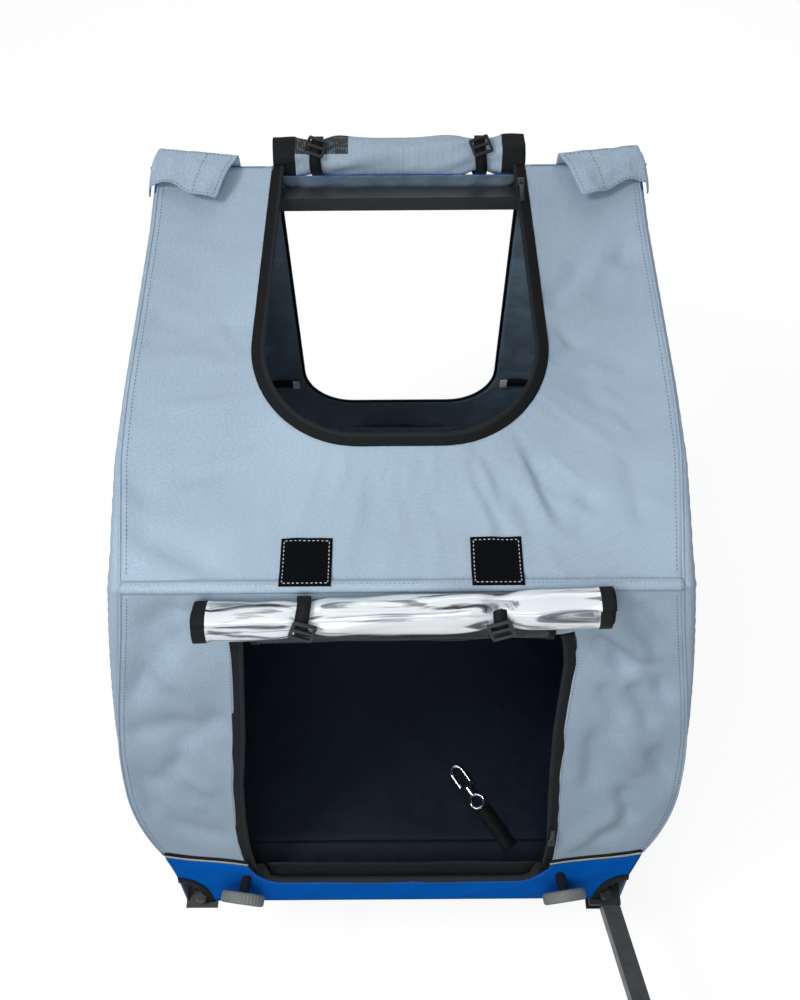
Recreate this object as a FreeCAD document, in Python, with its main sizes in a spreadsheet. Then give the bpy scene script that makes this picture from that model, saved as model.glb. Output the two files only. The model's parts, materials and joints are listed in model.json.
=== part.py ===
"""Dog bike trailer: a folding tube frame with a fabric cabin, two quick-release wheels and a swinging tow bar.

Millimetres, +Z up, the ground at z = 0. The trailer drives towards -Y, so its left side is at +X.
"""

import FreeCAD, Part
import math
import os
import re

import Sketcher

Vector = FreeCAD.Vector
Rotation = FreeCAD.Rotation
Placement = FreeCAD.Placement

SIZES = {
    # clearances and the overrun of every cut
    "running_gap": 0.03,
    "pivot_gap": 0.05,
    "soft_gap": 0.3,
    "plate_gap": 0.3,
    "overrun": 5,
    # square tubes of the base
    "tube": 20,
    "tube_wall": 1.5,
    "base_half_width": 266,
    "cabin_length": 669,
    "front_tube_setback": 12,
    "rear_tube_inset": 9,
    "axle_setback": 400,
    # floor
    "board_front": 62,
    "board_rear_inset": 37,
    "board_margin": 4,
    "board_thickness": 6,
    "mat_margin": 4,
    "mat_thickness": 6,
    # cabin cover
    "cover_thickness": 3,
    "seam_setback": 189,
    "seam_rise": 490,
    "roof_rise": 108,
    "foot_ease": 9,
    "sill_ease": 18,
    "belly_ease": 48,
    "top_ease": 14,
    "sill_rise": 80,
    "belly_rise": 205,
    "hem_width": 14,
    "corner_cut_radius": 34,
    "corner_cut_height": 46,
    # openings of the cover
    "door_half_width": 177,
    "door_header": 62,
    "door_foot_rise": 50,
    "door_corner": 60,
    "roof_window_rear_half": 140,
    "roof_window_front_half": 156,
    "roof_window_setback": 149,
    "roof_tape_margin": 3,
    "roof_window_corner": 105,
    "rear_window_half": 140,
    "rear_window_foot_rise": 175,
    "rear_window_head_drop": 50,
    "rear_window_corner": 70,
    # zips
    "zip_width": 10,
    "zip_thickness": 2,
    "slider_width": 9,
    "slider_length": 12,
    "slider_height": 4,
    "pull_width": 6,
    "pull_length": 24,
    "pull_thickness": 1.5,
    # small sewn pieces
    "flap_width": 92,
    "flap_length": 60,
    "flap_thickness": 2,
    "flap_margin": 3,
    "patch_side": 48,
    "patch_thickness": 2,
    "patch_centre": 92,
    "patch_margin": 6,
    "piping_height": 10,
    "piping_thickness": 2,
    "piping_edge_inset": 8,
    "strap_width": 15,
    "strap_length": 52,
    "strap_thickness": 1.5,
    "strap_rise": 222,
    "strap_end_margin": 14,
    "pocket_half_width": 95,
    "pocket_height": 20,
    "pocket_thickness": 4,
    "pocket_rise": 100,
    # rolled flaps
    "window_roll_radius": 21,
    "window_roll_half_length": 200,
    "window_roll_drop": 16,
    "window_tie_offset": 97,
    "mesh_roll_radius": 10,
    "mesh_roll_half_length": 150,
    "roof_roll_radius": 24,
    "roof_roll_half_length": 145,
    "roof_roll_drop": 6,
    "roof_tie_offset": 93,
    "tie_width": 14,
    "tie_thickness": 1.5,
    "toggle_radius": 4,
    "toggle_length": 26,
    # hoops
    "post": 18,
    "post_tail": 12,
    "hinge_plate": 2,
    "hinge_reach": 13,
    "hinge_pin_radius": 4,
    "fold_gap": 3,
    "rear_pivot_inset": 18,
    "rear_bar_drop": 32,
    "front_post_gap": 9,
    "front_pivot_setback": 44,
    "front_bar_drop": 30,
    # wheels
    "wheel_diameter": 400,
    "wheel_clearance": 81,
    "tyre_section": 45.4,
    "tyre_wall": 3.5,
    "tyre_side_height": 42,
    "rim_flange_height": 7,
    "rim_well_depth": 5.5,
    "rim_floor": 4.5,
    "rim_half_width": 15,
    "rim_wall": 2.5,
    "rim_well_half_width": 8,
    "rim_inner_half_width": 9,
    "spoke_count": 20,
    "spoke_radius": 1.25,
    "hub_half_length": 30,
    "hub_radius": 19,
    "hub_barrel_radius": 15,
    "hub_bore_radius": 8,
    "flange_radius": 27,
    "flange_offset": 19,
    "flange_thickness": 3,
    "bearing_radius": 14,
    "bearing_width": 8,
    "axle_radius": 6,
    "axle_collar_radius": 9,
    "axle_cap_radius": 11,
    "axle_cap_length": 8,
    "button_radius": 5,
    "button_reach": 5,
    "button_depth": 4,
    "receiver_drop": 16,
    "receiver_side": 32,
    "receiver_half_length": 15,
    # tow bar and its corner brackets
    "tow_tube": 22,
    "tow_wall": 1.5,
    "tow_pivot_setback": 30,
    "tow_tail": 13,
    "tow_out_angle": 12,
    "tow_in_angle": 30,
    "tow_long_length": 360,
    "tow_short_length": 150,
    "tow_bend_radius": 90,
    "bracket_plate": 3,
    "bracket_half_width": 20,
    "bracket_front": 8,
    "bracket_rear": 50,
    "bracket_web_front": 14,
    "bolt_radius": 4,
    "bolt_head_radius": 8,
    "bolt_head_height": 5,
    "knob_setback": 3,
    "knob_radius": 7.5,
    "knob_height": 14,
    "knob_waist_radius": 5.5,
    "knob_screw_radius": 3,
    # coupler and hitch
    "block_radius": 10.8,
    "block_length": 34,
    "fork_base": 8,
    "fork_half_width": 10,
    "fork_prong": 3,
    "fork_half_height": 7,
    "fork_nose": 8,
    "pin_reach": 60,
    "pin_radius": 4,
    "pin_head_radius": 7,
    "pin_head_height": 3,
    "tongue_half_width": 9,
    "ear_start": 16,
    "ear_reach": 50,
    "ear_thickness": 5,
    "ear_depth": 16,
    "ear_height": 7.5,
    "axle_hole_radius": 5.2,
    "axle_hole_reach": 36,
    "axle_hole_drop": 4,
    # front bumpers
    "bumper_inset": 69,
    "bumper_rise": 45,
    "bumper_radius": 26.5,
    "bumper_thickness": 14,
    "bumper_standoff": 16,
    "bumper_edge": 2.5,
    "bumper_recess": 3,
    "bumper_stud_radius": 6,
    "bumper_stud_length": 24,
    "bumper_angle": 8,
    "bumper_tilt": 9,
    # tether
    "tether_offset": 91,
    "tether_setback": 122,
    "tether_angle": 33.3,
    "tether_strap_width": 20,
    "tether_strap_thickness": 2,
    "tether_strap_length": 62,
    "eye_radius": 9,
    "eye_wire": 2,
    "swivel_radius": 4.5,
    "swivel_length": 10,
    "swivel_stem": 2,
    "hook_wire": 2.2,
    "hook_half_width": 8,
    "hook_length": 30,
    "gate_radius": 1.7,
}

# Places worked out from the sizes; each may use those above it.
PLACES = {
    "base_z": "wheel_diameter / 2 + receiver_drop",
    "rail_x": "base_half_width - tube / 2",
    "foot_half_width": "base_half_width + foot_ease",
    "sill_half_width": "base_half_width + sill_ease",
    "belly_half_width": "base_half_width + belly_ease",
    "top_half_width": "base_half_width + top_ease",
    "bumper_x": "base_half_width - bumper_inset",
    "rail_top": "base_z + tube",
    "tow_z": "base_z - bracket_plate - plate_gap - tow_tube / 2",
    "tow_forward": "tow_long_length * cos(tow_out_angle * 1 deg) + tow_short_length * cos(tow_in_angle * 1 deg)",
    "tow_inward": "tow_short_length * sin(tow_in_angle * 1 deg) - tow_long_length * sin(tow_out_angle * 1 deg)",
    "front_reach": "tow_forward + pin_reach * cos(tow_in_angle * 1 deg) + ear_reach - tow_pivot_setback",
    "rear_reach": "cabin_length + soft_gap + 2 * roof_roll_radius",
    "front_y": "(front_reach - rear_reach) / 2",
    "rear_y": "front_y + cabin_length",
    "axle_y": "front_y + axle_setback",
    "axle_z": "wheel_diameter / 2",
    "wheel_plane_x": "base_half_width + wheel_clearance",
    "rim_flange_radius": "wheel_diameter / 2 - tyre_side_height",
    "rim_seat_radius": "rim_flange_radius - rim_flange_height",
    "rim_well_radius": "rim_seat_radius - rim_well_depth",
    "rim_inner_radius": "rim_well_radius - rim_floor",
    "seam_y": "front_y + seam_setback",
    "seam_z": "base_z + seam_rise",
    "roof_z": "seam_z + roof_rise",
    "board_z": "rail_top",
    "mat_z": "board_z + board_thickness",
    "mat_top": "mat_z + mat_thickness",
    "front_post_x": "rail_x - post - hinge_plate - front_post_gap + hinge_plate / 2",
    "front_pivot_y": "front_y + front_pivot_setback",
    "front_pivot_z": "mat_top + fold_gap + post / 2",
    "rear_pivot_y": "rear_y - rear_pivot_inset",
    "rear_pivot_z": "front_pivot_z + post + fold_gap + (tube - post) / 2",
    "rear_bar_z": "roof_z - rear_bar_drop",
    "tow_pivot_y": "front_y + tow_pivot_setback",
    "tow_end_x": "rail_x - tow_inward",
    "tow_end_y": "tow_pivot_y - tow_forward",
    "pin_x": "tow_end_x - pin_reach * sin(tow_in_angle * 1 deg)",
    "pin_y": "tow_end_y - pin_reach * cos(tow_in_angle * 1 deg)",
    "receiver_top": "base_z",
    "bumper_z": "base_z + bumper_rise",
    "bumper_face_y": "front_y + bumper_rise * seam_setback / seam_rise",
    "bumper_y": "bumper_face_y - bumper_standoff",
    "hook_z": "mat_top + soft_gap + swivel_radius",
    "knob_y": "front_y + knob_setback",
    "bracket_foot": "tow_z - tow_tube / 2 - plate_gap - bracket_plate",
}

# Shares that shape the barrel of the cabin's cross-section and the pinch of the rolls.
BELLY_ARC_SHARES = (0.69, 0.41)
SHOULDER_ARC_SHARES = (0.36, 0.54)
ROLL_PINCH_SHARE = 0.82
ROLL_END_SHARE = 0.86

SIDES = (("left", 1), ("right", -1))

doc = FreeCAD.newDocument("DogBikeTrailer")
sizes = doc.addObject("Spreadsheet::Sheet", "Sizes")
places = doc.addObject("Spreadsheet::Sheet", "Places")
nodes = []


def linked(text, inside_places=False):
    """Writes an expression's plain names as references to the two sheets."""

    def reference(match):
        word = match.group(0)
        if word in SIZES:
            return "Sizes." + word
        if word in PLACES and not inside_places:
            return "Places." + word
        return word

    return re.sub(r"[a-z_]+[a-z0-9_]*", reference, text)


def fill_sheets():
    for row, (name, value) in enumerate(SIZES.items(), start=1):
        cell = "A%d" % row
        sizes.set(cell, str(value))
        sizes.setAlias(cell, name)
    for row, (name, text) in enumerate(PLACES.items(), start=1):
        cell = "A%d" % row
        places.set(cell, "=" + linked(text, inside_places=True))
        places.setAlias(cell, name)
    doc.recompute()


def size(name):
    """The value of a named size or place."""
    sheet = sizes if name in SIZES else places
    return float(sheet.get(name))


def bind(thing, **expressions):
    """Binds properties to expressions; a double underscore stands for the dot of a nested property."""
    for name, text in expressions.items():
        thing.setExpression(name.replace("__", "."), linked(str(text)))
    return thing


def node(thing, label):
    """Names a finished sub-part, which is then exported under that name."""
    thing.Label = label
    nodes.append(thing)
    return thing


def box(name, length, width, height, x, y, z):
    """A box by its lengths along X, Y and Z and its least corner."""
    made = doc.addObject("Part::Box", name)
    bind(made, Length=length, Width=width, Height=height)
    return bind(made, Placement__Base__x=x, Placement__Base__y=y, Placement__Base__z=z)


AXIS_TURNS = {
    "x": Rotation(Vector(0, 1, 0), 90),
    "-x": Rotation(Vector(0, 1, 0), -90),
    "y": Rotation(Vector(1, 0, 0), -90),
    "-y": Rotation(Vector(1, 0, 0), 90),
    "z": Rotation(),
    "-z": Rotation(Vector(1, 0, 0), 180),
}


def cylinder(name, radius, height, x, y, z, axis="z"):
    """A cylinder that starts at a point and runs along an axis."""
    made = doc.addObject("Part::Cylinder", name)
    made.Placement = Placement(Vector(), AXIS_TURNS[axis])
    bind(made, Radius=radius, Height=height)
    return bind(made, Placement__Base__x=x, Placement__Base__y=y, Placement__Base__z=z)


def fused(name, *shapes):
    made = doc.addObject("Part::MultiFuse", name)
    made.Shapes = list(shapes)
    made.Refine = True
    return made


def cut(name, base, *tools):
    """Takes each tool away from the base."""
    for number, tool in enumerate(tools):
        made = doc.addObject("Part::Cut", "%s_cut_%d" % (name, number))
        made.Base = base
        made.Tool = tool
        base = made
    return base


def group(name, *links):
    """Separate solids that share one node."""
    made = doc.addObject("Part::Compound", name)
    made.Links = list(links)
    return made


def feature(name, shape, place=None):
    made = doc.addObject("Part::Feature", name)
    made.Shape = shape
    if place is not None:
        made.Placement = place
    return made


def square_tube(name, side, wall, length, x, y, z, axis):
    """A hollow square tube centred on a point, with open ends."""
    outer = {"x": (length, side, side), "y": (side, length, side), "z": (side, side, length)}[axis]
    bore_side = "(%s) - 2 * (%s)" % (side, wall)
    bore_length = "(%s) + 2 * overrun" % length
    inner = {
        "x": (bore_length, bore_side, bore_side),
        "y": (bore_side, bore_length, bore_side),
        "z": (bore_side, bore_side, bore_length),
    }[axis]
    centre = (x, y, z)
    solids = []
    for tag, lengths in (("outer", outer), ("bore", inner)):
        corner = ["(%s) - (%s) / 2" % pair for pair in zip(centre, lengths)]
        solids.append(box("%s_%s" % (name, tag), *lengths, *corner))
    return cut(name, *solids)


def turned(name, points, axis, x, y, z):
    """A body of revolution: a closed outline of (radius, height) pairs turned about its own axis."""
    body = doc.addObject("PartDesign::Body", name)
    plane = [item for item in body.Origin.OriginFeatures if item.Role == "XZ_Plane"][0]
    sketch = body.newObject("Sketcher::SketchObject", name + "_outline")
    sketch.AttachmentSupport = (plane, [""])
    sketch.MapMode = "FlatFace"
    count = len(points)
    step = 2 * math.pi / count
    first = [Vector(2 + math.cos(step * i), math.sin(step * i), 0) for i in range(count)]
    for i in range(count):
        sketch.addGeometry(Part.LineSegment(first[i], first[(i + 1) % count]), False)
    for i in range(count):
        sketch.addConstraint(Sketcher.Constraint("Coincident", i, 2, (i + 1) % count, 1))
    for i, (radius, height) in enumerate(points):
        across = sketch.addConstraint(Sketcher.Constraint("DistanceX", -1, 1, i, 1, first[i].x))
        along = sketch.addConstraint(Sketcher.Constraint("DistanceY", -1, 1, i, 1, first[i].y))
        sketch.setExpression("Constraints[%d]" % across, linked(str(radius)))
        sketch.setExpression("Constraints[%d]" % along, linked(str(height)))
    turn = body.newObject("PartDesign::Revolution", name + "_turn")
    turn.Profile = sketch
    turn.ReferenceAxis = (sketch, ["V_Axis"])
    turn.Angle = 360
    body.Placement = Placement(Vector(), AXIS_TURNS[axis] if isinstance(axis, str) else axis)
    return bind(body, Placement__Base__x=x, Placement__Base__y=y, Placement__Base__z=z)


def prism(points, run):
    """A solid made by moving a flat closed outline along a vector."""
    return Part.Face(Part.makePolygon(list(points) + [points[0]])).extrude(run)


def slab(width, depth, height, centre):
    """A block centred on a point."""
    corner = centre - Vector(width / 2, depth / 2, height / 2)
    return Part.makeBox(width, depth, height, corner)


# Frames of the cover's flat panels: local x across, local y up the panel, local z outwards.


def front_frame():
    turn = math.degrees(math.atan2(size("seam_rise"), size("seam_setback")))
    return Placement(Vector(0, size("seam_y"), size("seam_z")), Rotation(Vector(1, 0, 0), turn))


def roof_frame():
    turn = math.degrees(math.atan2(size("roof_rise"), size("cabin_length") - size("seam_setback")))
    return Placement(Vector(0, size("seam_y"), size("seam_z")), Rotation(Vector(1, 0, 0), turn))


def rear_frame():
    turn = Rotation(Vector(0, 0, 1), 180).multiply(Rotation(Vector(1, 0, 0), 90))
    return Placement(Vector(0, size("rear_y"), size("base_z")), turn)


def front_length():
    return math.hypot(size("seam_setback"), size("seam_rise"))


def roof_length():
    return math.hypot(size("cabin_length") - size("seam_setback"), size("roof_rise"))


def placed(shape, frame):
    moved = shape.copy()
    moved.Placement = frame.multiply(moved.Placement)
    return moved


def cabin_profile(inset):
    """Corners of the cabin seen from its side, moved inwards: front foot, seam, rear top and rear foot."""
    lean = math.atan2(size("seam_setback"), size("seam_rise"))
    slope = math.atan2(size("roof_rise"), size("cabin_length") - size("seam_setback"))
    foot_y = size("front_y") + inset / math.cos(lean)
    rear_y = size("rear_y") - inset
    roof_offset = inset / math.cos(slope)
    seam_rise = (
        size("seam_rise")
        - roof_offset
        - (size("seam_setback") - (foot_y - size("front_y"))) * math.tan(slope)
    ) / (1 - math.tan(lean) * math.tan(slope))
    seam = Vector(0, foot_y + seam_rise * math.tan(lean), size("base_z") + seam_rise)
    top_z = seam.z + (rear_y - seam.y) * math.tan(slope)
    foot = Vector(0, foot_y, size("base_z"))
    return foot, seam, Vector(0, rear_y, top_z), Vector(0, rear_y, size("base_z"))


def cabin_section(inset):
    """The barrel-shaped cross-section as a prism along Y, moved inwards at the sides."""
    foot = size("foot_half_width") - inset
    sill = size("sill_half_width") - inset
    belly = size("belly_half_width") - inset
    top = size("top_half_width") - inset
    low_z = size("base_z")
    sill_z = low_z + size("sill_rise")
    belly_z = low_z + size("belly_rise")
    top_z = size("seam_z")
    high_z = size("roof_z") + size("overrun")
    swell_x, swell_z = BELLY_ARC_SHARES
    ease_x, ease_z = SHOULDER_ARC_SHARES
    swell = (sill + (belly - sill) * swell_x, sill_z + (belly_z - sill_z) * swell_z)
    ease = (belly + (top - belly) * ease_x, belly_z + (top_z - belly_z) * ease_z)
    start_y = size("front_y") - size("overrun")

    def at(x, z):
        return Vector(x, start_y, z)

    edges = []
    for side in (1, -1):
        edges.append(Part.LineSegment(at(side * foot, low_z), at(side * sill, sill_z)).toShape())
        edges.append(
            Part.Arc(at(side * sill, sill_z), at(side * swell[0], swell[1]), at(side * belly, belly_z)).toShape()
        )
        edges.append(
            Part.Arc(at(side * belly, belly_z), at(side * ease[0], ease[1]), at(side * top, top_z)).toShape()
        )
        edges.append(Part.LineSegment(at(side * top, top_z), at(side * top, high_z)).toShape())
    edges.append(Part.LineSegment(at(top, high_z), at(-top, high_z)).toShape())
    edges.append(Part.LineSegment(at(foot, low_z), at(-foot, low_z)).toShape())
    outline = Part.Wire(Part.__sortEdges__(edges))
    run = Vector(0, size("cabin_length") + 2 * size("overrun"), 0)
    return Part.Face(outline).extrude(run)


def across(points):
    """A prism across the whole cabin from an outline in the YZ plane."""
    half = size("belly_half_width") + size("overrun")
    start = [point + Vector(-half, 0, 0) for point in points]
    return prism(start, Vector(2 * half, 0, 0))


def window_prism(top_half, low_half, top, low, corner, deep, high):
    """A window's cutter in a panel frame: straight sides and two rounded lower corners."""
    points = [Vector(-top_half, top, deep), Vector(top_half, top, deep)]
    points += [Vector(low_half, low, deep), Vector(-low_half, low, deep)]
    block = prism(points, Vector(0, 0, high - deep))
    upright = []
    for edge in block.Edges:
        ends = [vertex.Point for vertex in edge.Vertexes]
        if all(abs(point.y - low) < abs(top - low) / 1000 for point in ends) and ends[0].z != ends[1].z:
            upright.append(edge)
    return block.makeFillet(corner, upright)


def door_shape(grow, deep, high):
    """The door opening in the front frame, widened by a margin."""
    low = (size("door_foot_rise") - size("seam_rise")) * front_length() / size("seam_rise")
    half = size("door_half_width") + grow
    return window_prism(half, half, -size("door_header"), low - grow, size("door_corner") + grow, deep, high)


def roof_window_shape(grow, deep, high):
    """The roof window, open to the rear; a margin round it ends short of the roof's rear edge."""
    top = roof_length() + (-size("roof_tape_margin") if grow else size("overrun"))
    low = size("roof_window_setback") - grow
    rear_half = size("roof_window_rear_half") + grow
    front_half = size("roof_window_front_half") + grow
    return window_prism(rear_half, front_half, top, low, size("roof_window_corner") + grow, deep, high)


def rear_window_shape(grow, deep, high):
    top = size("roof_z") - size("base_z") - size("rear_window_head_drop")
    low = size("rear_window_foot_rise") - grow
    half = size("rear_window_half") + grow
    return window_prism(half, half, top, low, size("rear_window_corner") + grow, deep, high)


def cutter_depth():
    return 2 * size("cover_thickness") + size("overrun")


def corner_cutter(side):
    """The rounded corner of the cover that leaves the front bracket's bolt in view."""
    centre = Vector(side * size("foot_half_width"), size("front_y"), size("base_z") - size("overrun"))
    height = size("corner_cut_height") + size("overrun")
    return Part.makeCylinder(size("corner_cut_radius"), height, centre)


def under_plane(height):
    """A large block below a height, for splitting panels."""
    span = size("cabin_length") + 2 * size("belly_half_width")
    return Part.makeBox(span, span, span, Vector(-span / 2, size("front_y") - span / 4, height - span))


def front_faces():
    """The front panel above the sill line and the sill below it."""
    outer = cabin_profile(0)
    inner = cabin_profile(size("cover_thickness"))
    plate = across([outer[0], outer[1], inner[1], inner[0]]).common(cabin_section(0))
    depth = cutter_depth()
    plate = plate.cut(placed(door_shape(0, -depth, depth), front_frame()))
    for _, side in SIDES:
        plate = plate.cut(corner_cutter(side))
    low = under_plane(size("base_z") + size("sill_rise"))
    return plate.cut(low), plate.common(low)


def hem(low, high):
    """A strip of cover turned under a base tube, between two corners seen from above."""
    height = size("cover_thickness")
    return Part.makeBox(high.x - low.x, high.y - low.y, height, Vector(low.x, low.y, size("base_z") - height))


def bumper_turn(side):
    """A bumper faces forward, turned a little outward and tilted a little down."""
    tilt = Rotation(Vector(1, 0, 0), size("bumper_tilt"))
    return Rotation(Vector(0, 0, 1), side * size("bumper_angle")).multiply(tilt)


def make_cover():
    front, sill = front_faces()
    setback = size("front_tube_setback") + size("hem_width")
    half = size("rail_x") - size("bracket_half_width") - size("overrun")
    foot = hem(Vector(-half, size("front_y"), 0), Vector(half, size("front_y") + setback, 0))
    studs = []
    for _, side in SIDES:
        spot = Vector(side * size("bumper_x"), size("bumper_y"), size("bumper_z"))
        reach = 2 * size("bumper_stud_length")
        hole = Part.makeCylinder(size("bumper_stud_radius") + size("soft_gap"), 2 * reach)
        hole.Placement = Placement(spot, bumper_turn(side)).multiply(
            Placement(Vector(0, -reach, 0), Rotation(Vector(1, 0, 0), -90))
        )
        studs.append(hole)
    node(feature("FrontPanel", front), "front_panel")
    node(feature("FrontSill", sill.fuse(foot).removeSplitter().cut(studs)), "front_sill")

    outer = cabin_profile(0)
    inner = cabin_profile(size("cover_thickness"))
    section = cabin_section(0)
    depth = cutter_depth()
    roof = across([outer[1], outer[2], inner[2], inner[1]]).common(section)
    roof = roof.cut(placed(roof_window_shape(0, -depth, depth), roof_frame()))
    node(feature("RoofPanel", roof), "roof_panel")

    rear = across([outer[2], outer[3], inner[3], inner[2]]).common(section)
    rear = rear.cut(placed(rear_window_shape(0, -depth, depth), rear_frame()))
    low = Vector(-half, size("rear_y") - size("rear_tube_inset") - size("hem_width"), 0)
    rear = rear.fuse(hem(low, Vector(half, size("rear_y"), 0))).removeSplitter()
    node(feature("RearPanel", rear), "rear_panel")

    shell = across(list(inner)).common(section).cut(cabin_section(size("cover_thickness")))
    for label, side in SIDES:
        reach = size("belly_half_width") + size("overrun")
        centre = Vector(side * reach / 2, 0, size("seam_z"))
        keep = slab(reach, 2 * size("cabin_length") + 2 * size("front_reach"), 2 * size("seam_z"), centre)
        panel = shell.common(keep).cut(corner_cutter(side))
        near = size("foot_half_width") - size("hem_width")
        edge = sorted((side * near, side * size("foot_half_width")))
        start = size("front_y") + size("bracket_rear") + size("overrun")
        stop = size("rear_y") - size("cover_thickness")
        strip = hem(Vector(edge[0], start, 0), Vector(edge[1], stop, 0))
        gap = slab(
            4 * size("receiver_half_length"),
            size("receiver_side") + 2 * size("soft_gap"),
            4 * size("cover_thickness"),
            Vector(side * size("rail_x"), size("axle_y"), size("base_z") - 2 * size("cover_thickness")),
        )
        panel = panel.fuse(strip.cut(gap)).removeSplitter()
        node(feature("SidePanel", panel), label + "_side_panel")


def make_zip_tapes():
    depth = cutter_depth()
    thick = size("zip_thickness")
    wide = size("zip_width")
    for label, shape, frame in (
        ("door_zip_tape", door_shape, front_frame()),
        ("roof_zip_tape", roof_window_shape, roof_frame()),
    ):
        ring = shape(wide, 0, thick).cut(shape(0, -depth, depth))
        node(feature(label.title().replace("_", ""), placed(ring, frame)), label)


def zip_slider(label, spot, direction, frame):
    """A slider on a tape with its pull tab, at a spot in a panel frame, along a direction in the panel."""
    high = size("zip_thickness") + size("soft_gap")
    base = slab(
        size("slider_width"), size("slider_length"), size("slider_height"), Vector(0, 0, high + size("slider_height") / 2)
    )
    reach = size("slider_length") / 2 + size("pull_length") / 2 - size("pull_thickness")
    pull_z = high + size("slider_height") - size("pull_thickness") / 2
    pull = slab(size("pull_width"), size("pull_length"), size("pull_thickness"), Vector(0, reach, pull_z))
    turn = math.degrees(math.atan2(direction.y, direction.x)) - 90
    local = Placement(spot, Rotation(Vector(0, 0, 1), turn))
    made = base.fuse(pull).removeSplitter()
    node(feature(label.title().replace("_", ""), placed(placed(made, local), frame)), label)


def make_zip_sliders():
    middle = size("zip_width") / 2
    top = roof_length() - size("roof_tape_margin")
    low = size("roof_window_setback")
    flare = size("roof_window_rear_half") - size("roof_window_front_half")
    along = Vector(flare, top - low, 0)
    along.normalize()
    start = Vector(size("roof_window_rear_half") + middle, top, 0) - along * 2 * size("slider_length")
    zip_slider("roof_zip_slider", start, along * -1, roof_frame())
    low = (size("door_foot_rise") - size("seam_rise")) * front_length() / size("seam_rise")
    spot = Vector(size("door_half_width") + middle, low + size("door_corner") + size("slider_length"), 0)
    zip_slider("door_zip_slider", spot, Vector(0, 1, 0), front_frame())


def make_sewn_pieces():
    lift = size("flap_thickness") / 2
    flaps = []
    patches = []
    for _, side in SIDES:
        x = side * (size("top_half_width") - size("flap_margin") - size("flap_width") / 2)
        y = roof_length() - size("flap_margin") - size("flap_length") / 2
        flap = slab(size("flap_width"), size("flap_length"), size("flap_thickness"), Vector(x, y, lift))
        flaps.append(placed(flap, roof_frame()))
        y = size("patch_margin") + size("patch_side") / 2
        centre = Vector(side * size("patch_centre"), y, size("patch_thickness") / 2)
        patch = slab(size("patch_side"), size("patch_side"), size("patch_thickness"), centre)
        patches.append(placed(patch, roof_frame()))
    node(feature("ShoulderFlaps", Part.makeCompound(flaps)), "shoulder_flaps")
    node(feature("LoopPatches", Part.makeCompound(patches)), "loop_patches")

    stripes = []
    line = (size("sill_rise") - size("seam_rise")) * front_length() / size("seam_rise")
    near = size("door_half_width") + size("zip_width")
    far = size("sill_half_width") - size("piping_edge_inset")
    for _, side in SIDES:
        centre = Vector(side * (near + far) / 2, line, size("piping_thickness") / 2)
        stripe = slab(far - near, size("piping_height"), size("piping_thickness"), centre)
        stripes.append(placed(stripe, front_frame()))
    node(feature("SillPiping", Part.makeCompound(stripes)), "sill_piping")

    inside = -size("cover_thickness")
    straps = []
    for _, side in SIDES:
        x = side * (size("rear_window_half") + size("strap_end_margin") + size("strap_length") / 2)
        y = size("strap_rise")
        centre = Vector(x, y, inside - size("strap_thickness") / 2)
        strap = slab(size("strap_length"), size("strap_width"), size("strap_thickness"), centre)
        straps.append(placed(strap, rear_frame()))
    node(feature("InnerStraps", Part.makeCompound(straps)), "inner_straps")
    centre = Vector(0, size("pocket_rise") + size("pocket_height") / 2, inside - size("pocket_thickness") / 2)
    pocket = slab(2 * size("pocket_half_width"), size("pocket_height"), size("pocket_thickness"), centre)
    node(feature("RearPocket", placed(pocket, rear_frame())), "rear_pocket")


def rolled_flap(radius, half_length, tie_x):
    """A rolled flap along X about the origin, drawn in at two ties and at its ends."""
    pinch = radius * ROLL_PINCH_SHARE
    end = radius * ROLL_END_SHARE
    half_tie = size("tie_width") / 2
    outline = [(-half_length, end), (-tie_x - half_tie, pinch), (-tie_x + half_tie, pinch)]
    outline += [(tie_x - half_tie, pinch), (tie_x + half_tie, pinch), (half_length, end)]
    edges = []
    for number, (start, stop) in enumerate(zip(outline[:-1], outline[1:])):
        first = Vector(start[0], start[1], 0)
        last = Vector(stop[0], stop[1], 0)
        if number % 2:
            edges.append(Part.LineSegment(first, last).toShape())
        else:
            crown = Vector((start[0] + stop[0]) / 2, radius, 0)
            edges.append(Part.Arc(first, crown, last).toShape())
    left = Vector(-half_length, 0, 0)
    right = Vector(half_length, 0, 0)
    edges.append(Part.LineSegment(edges[-1].lastVertex().Point, right).toShape())
    edges.append(Part.LineSegment(right, left).toShape())
    edges.append(Part.LineSegment(left, edges[0].firstVertex().Point).toShape())
    face = Part.Face(Part.Wire(edges))
    return face.revolve(Vector(), Vector(1, 0, 0), 360)


def roll_ring(radius, x):
    """A tie round a rolled flap's waist."""
    waist = radius * ROLL_PINCH_SHARE + size("soft_gap")
    start = Vector(x - size("tie_width") / 2, 0, 0)
    outer = Part.makeCylinder(waist + size("tie_thickness"), size("tie_width"), start, Vector(1, 0, 0))
    return outer.cut(Part.makeCylinder(waist, size("tie_width"), start, Vector(1, 0, 0)))


def roll_toggle(radius, x, outward):
    """A toggle bar that closes a tie, lying along the roll on its outer side."""
    reach = radius * ROLL_PINCH_SHARE + 2 * size("soft_gap") + size("tie_thickness") + size("toggle_radius")
    start = outward * reach + Vector(x - size("toggle_length") / 2, 0, 0)
    return Part.makeCylinder(size("toggle_radius"), size("toggle_length"), start, Vector(1, 0, 0))


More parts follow.
